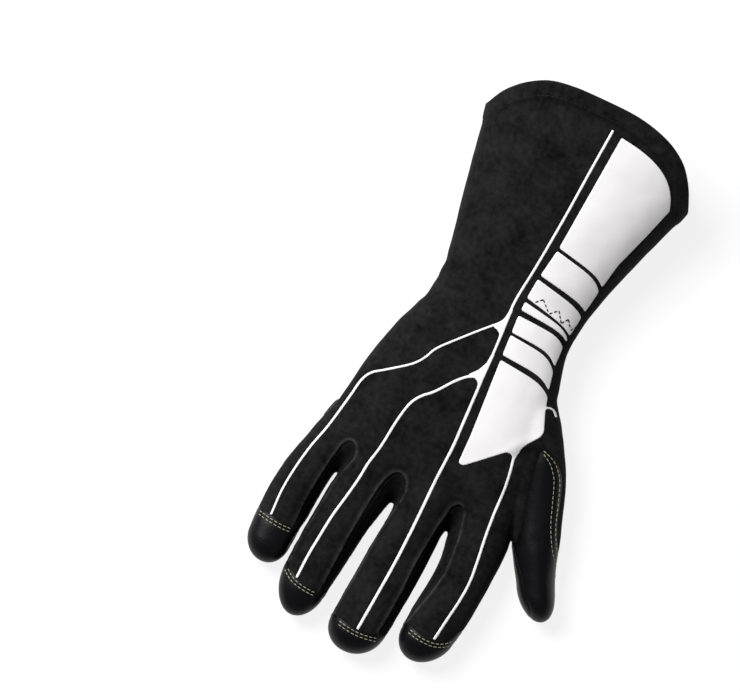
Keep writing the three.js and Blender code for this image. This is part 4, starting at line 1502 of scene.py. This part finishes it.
class GloveFinish(bpy.types.PropertyGroup):
    cloth_colour: bpy.props.FloatVectorProperty(
        name="Back cloth", description="Colour of the brushed cloth", default=(0.0092, 0.0090, 0.0090),
        subtype="COLOR", min=0, max=1,
    )
    cuff_colour: bpy.props.FloatVectorProperty(
        name="Cuff cloth", description="Colour of the cloth under the cuff", default=(0.0105, 0.0115, 0.016),
        subtype="COLOR", min=0, max=1,
    )
    leather_colour: bpy.props.FloatVectorProperty(
        name="Leather", description="Colour of the leather", default=(0.0028, 0.0029, 0.004),
        subtype="COLOR", min=0, max=1,
    )
    leather_roughness: bpy.props.FloatProperty(
        name="Leather roughness", description="How dull the leather is", default=0.42, min=0, max=1,
        subtype="FACTOR",
    )
    print_colour: bpy.props.FloatVectorProperty(
        name="Print", description="Colour of the white print", default=(0.88, 0.855, 0.87),
        subtype="COLOR", min=0, max=1,
    )
    cream_colour: bpy.props.FloatVectorProperty(
        name="Cream thread", description="Colour of the seams' thread", default=(0.38, 0.35, 0.24),
        subtype="COLOR", min=0, max=1,
    )
    black_colour: bpy.props.FloatVectorProperty(
        name="Black thread", description="Colour of the hem's thread", default=(0.006, 0.006, 0.006),
        subtype="COLOR", min=0, max=1,
    )


class GloveStage(bpy.types.PropertyGroup):
    floor_colour: bpy.props.FloatVectorProperty(
        name="Floor", description="Colour of the floor", default=(0.15, 0.15, 0.15),
        subtype="COLOR", min=0, max=1,
    )
    floor_glow: bpy.props.FloatProperty(
        name="Floor glow", description="Light of the floor's own, which softens the shadows", default=0.86,
        min=0,
    )
    key_power: bpy.props.FloatProperty(
        name="Key light", description="Power of the main soft light", default=120.0, min=0, unit="POWER"
    )
    fill_power: bpy.props.FloatProperty(
        name="Fill light", description="Power of the light on the other side", default=2.0, min=0,
        unit="POWER",
    )
    sky_strength: bpy.props.FloatProperty(
        name="Sky", description="Strength of the light from all round", default=0.07, min=0
    )
    camera_distance: bpy.props.FloatProperty(
        name="Camera height", description="How far the camera is over the glove", default=10.0, min=0.5,
        unit="LENGTH",
    )


class GLOVE_OT_cloth_panels(bpy.types.Operator):
    """Makes the brushed cloth of the back and the cloth under the cuff"""

    bl_idname = "glove.cloth_panels"
    bl_label = "Cloth panels"

    def execute(self, context):
        form, finish = context.scene.glove_form, context.scene.glove_finish
        back = make_panel(form, BACK, "back_cloth", back_cloth(finish), "brushed_cloth", "back_panel")
        cuff = cuff_cloth(finish)
        under = make_panel(form, CUFF_PALM, "cuff_under_cloth", cuff, "cuff_cloth", "cuff_palm_panel")
        back["glove_surface"] = under["glove_surface"] = True
        return {"FINISHED"}


class GLOVE_OT_leather_panels(bpy.types.Operator):
    """Makes the leather of the palm with its fingertip wraps, and of the thumb"""

    bl_idname = "glove.leather_panels"
    bl_label = "Leather panels"

    def execute(self, context):
        form, leather = context.scene.glove_form, smooth_leather(context.scene.glove_finish)
        palm = make_panel(form, PALM, "palm_skin", leather, "leather", "palm_leather")
        thumb = make_panel(form, THUMB, "thumb_skin", leather, "leather", "thumb_leather")
        palm["glove_surface"] = thumb["glove_surface"] = True
        return {"FINISHED"}


class GLOVE_OT_gussets(bpy.types.Operator):
    """Makes the narrow cloth gussets between the fingers"""

    bl_idname = "glove.gussets"
    bl_label = "Gussets"

    def execute(self, context):
        form, finish = context.scene.glove_form, context.scene.glove_finish
        for name in GUSSETS:
            make_panel(form, PANELS.index(name), name + "_cloth", back_cloth(finish), "brushed_cloth", name)
        return {"FINISHED"}


class GLOVE_OT_patches(bpy.types.Operator):
    """Makes the three leather patches under the palm"""

    bl_idname = "glove.patches"
    bl_label = "Palm patches"

    def execute(self, context):
        form, leather = context.scene.glove_form, smooth_leather(context.scene.glove_finish)
        for name, outline in PATCH_OUTLINES.items():
            patch = make_patch(form, name + "_pad", leather, outline, name + "_patch")
            patch["glove_surface"] = True
        return {"FINISHED"}


class GLOVE_OT_print(bpy.types.Operator):
    """Makes the white blocks and stripes printed on the back"""

    bl_idname = "glove.print"
    bl_label = "White print"

    def execute(self, context):
        scene = context.scene
        material = white_print(scene.glove_finish)
        for node, field in print_fields().items():
            print_piece = make_print(scene.glove_form, node, field, material, scene.glove_print.height / MM)
            print_piece["glove_surface"] = True
        return {"FINISHED"}


class GLOVE_OT_lining(bpy.types.Operator):
    """Makes the lining inside the glove"""

    bl_idname = "glove.lining"
    bl_label = "Lining"

    def execute(self, context):
        make_lining(context.scene.glove_form, cuff_cloth(context.scene.glove_finish))
        return {"FINISHED"}


class GLOVE_OT_cream_stitching(bpy.types.Operator):
    """Sews the cream rows on the thumb, the fingertips and the palm"""

    bl_idname = "glove.cream_stitching"
    bl_label = "Cream stitching"

    def execute(self, context):
        scene = context.scene
        cream = thread("cream thread", scene.glove_finish.cream_colour)
        make_stitches("thumb_stitches", thumb_rows(), True, scene.glove_stitching, cream, facing=0.15)
        make_stitches("tip_stitches", tip_rows(), True, scene.glove_stitching, cream)
        make_stitches("palm_stitches", palm_rows(), False, scene.glove_stitching, cream)
        return {"FINISHED"}


class GLOVE_OT_black_stitching(bpy.types.Operator):
    """Sews the hem's row and the zigzag at the wrist"""

    bl_idname = "glove.black_stitching"
    bl_label = "Black stitching"

    def execute(self, context):
        scene = context.scene
        black = thread("black thread", scene.glove_finish.black_colour)
        hem_row = [shifted(HEM_CURVE, HEM_STITCH_INSET)]
        make_stitches("hem_stitches_over", hem_row, True, scene.glove_stitching, black)
        make_stitches("hem_stitches_under", hem_row, False, scene.glove_stitching, black)
        limbs = [np.linspace(start, end, ZIGZAG_POINTS) for start, end in zip(ZIGZAG, ZIGZAG[1:])]
        make_stitches("zigzag_stitches", limbs, True, scene.glove_stitching, black, weight=1.6)
        return {"FINISHED"}


class GLOVE_OT_stage(bpy.types.Operator):
    """Sets up the floor, the light and the camera"""

    bl_idname = "glove.stage"
    bl_label = "Stage"

    def execute(self, context):
        make_stage(context.scene.glove_stage)
        return {"FINISHED"}


OPERATORS = (
    GLOVE_OT_cloth_panels,
    GLOVE_OT_leather_panels,
    GLOVE_OT_gussets,
    GLOVE_OT_patches,
    GLOVE_OT_print,
    GLOVE_OT_lining,
    GLOVE_OT_cream_stitching,
    GLOVE_OT_black_stitching,
    GLOVE_OT_stage,
)
GROUPS = {
    "glove_form": GloveForm,
    "glove_print": GlovePrint,
    "glove_stitching": GloveStitching,
    "glove_finish": GloveFinish,
    "glove_stage": GloveStage,
}


class GLOVE_PT_sidebar(bpy.types.Panel):
    """Lists the glove's pieces and settings"""

    bl_idname = "GLOVE_PT_sidebar"
    bl_label = "Racing Glove"
    bl_space_type = "VIEW_3D"
    bl_region_type = "UI"
    bl_category = "Glove"

    def draw(self, context):
        for name, group in GROUPS.items():
            for label in group.__annotations__:
                self.layout.prop(getattr(context.scene, name), label)
        for operator in OPERATORS:
            self.layout.operator(operator.bl_idname)


def register():
    for cls in (*GROUPS.values(), *OPERATORS, GLOVE_PT_sidebar):
        bpy.utils.register_class(cls)
    for name, group in GROUPS.items():
        setattr(bpy.types.Scene, name, bpy.props.PointerProperty(type=group))


def unregister():
    for name in GROUPS:
        delattr(bpy.types.Scene, name)
    for cls in reversed((*GROUPS.values(), *OPERATORS, GLOVE_PT_sidebar)):
        bpy.utils.unregister_class(cls)


def main():
    register()
    bpy.ops.glove.cloth_panels()
    bpy.ops.glove.leather_panels()
    bpy.ops.glove.gussets()
    bpy.ops.glove.patches()
    bpy.ops.glove.print()
    bpy.ops.glove.lining()
    bpy.ops.glove.cream_stitching()
    bpy.ops.glove.black_stitching()
    bpy.ops.glove.stage()


if __name__ == "__main__":
    main()
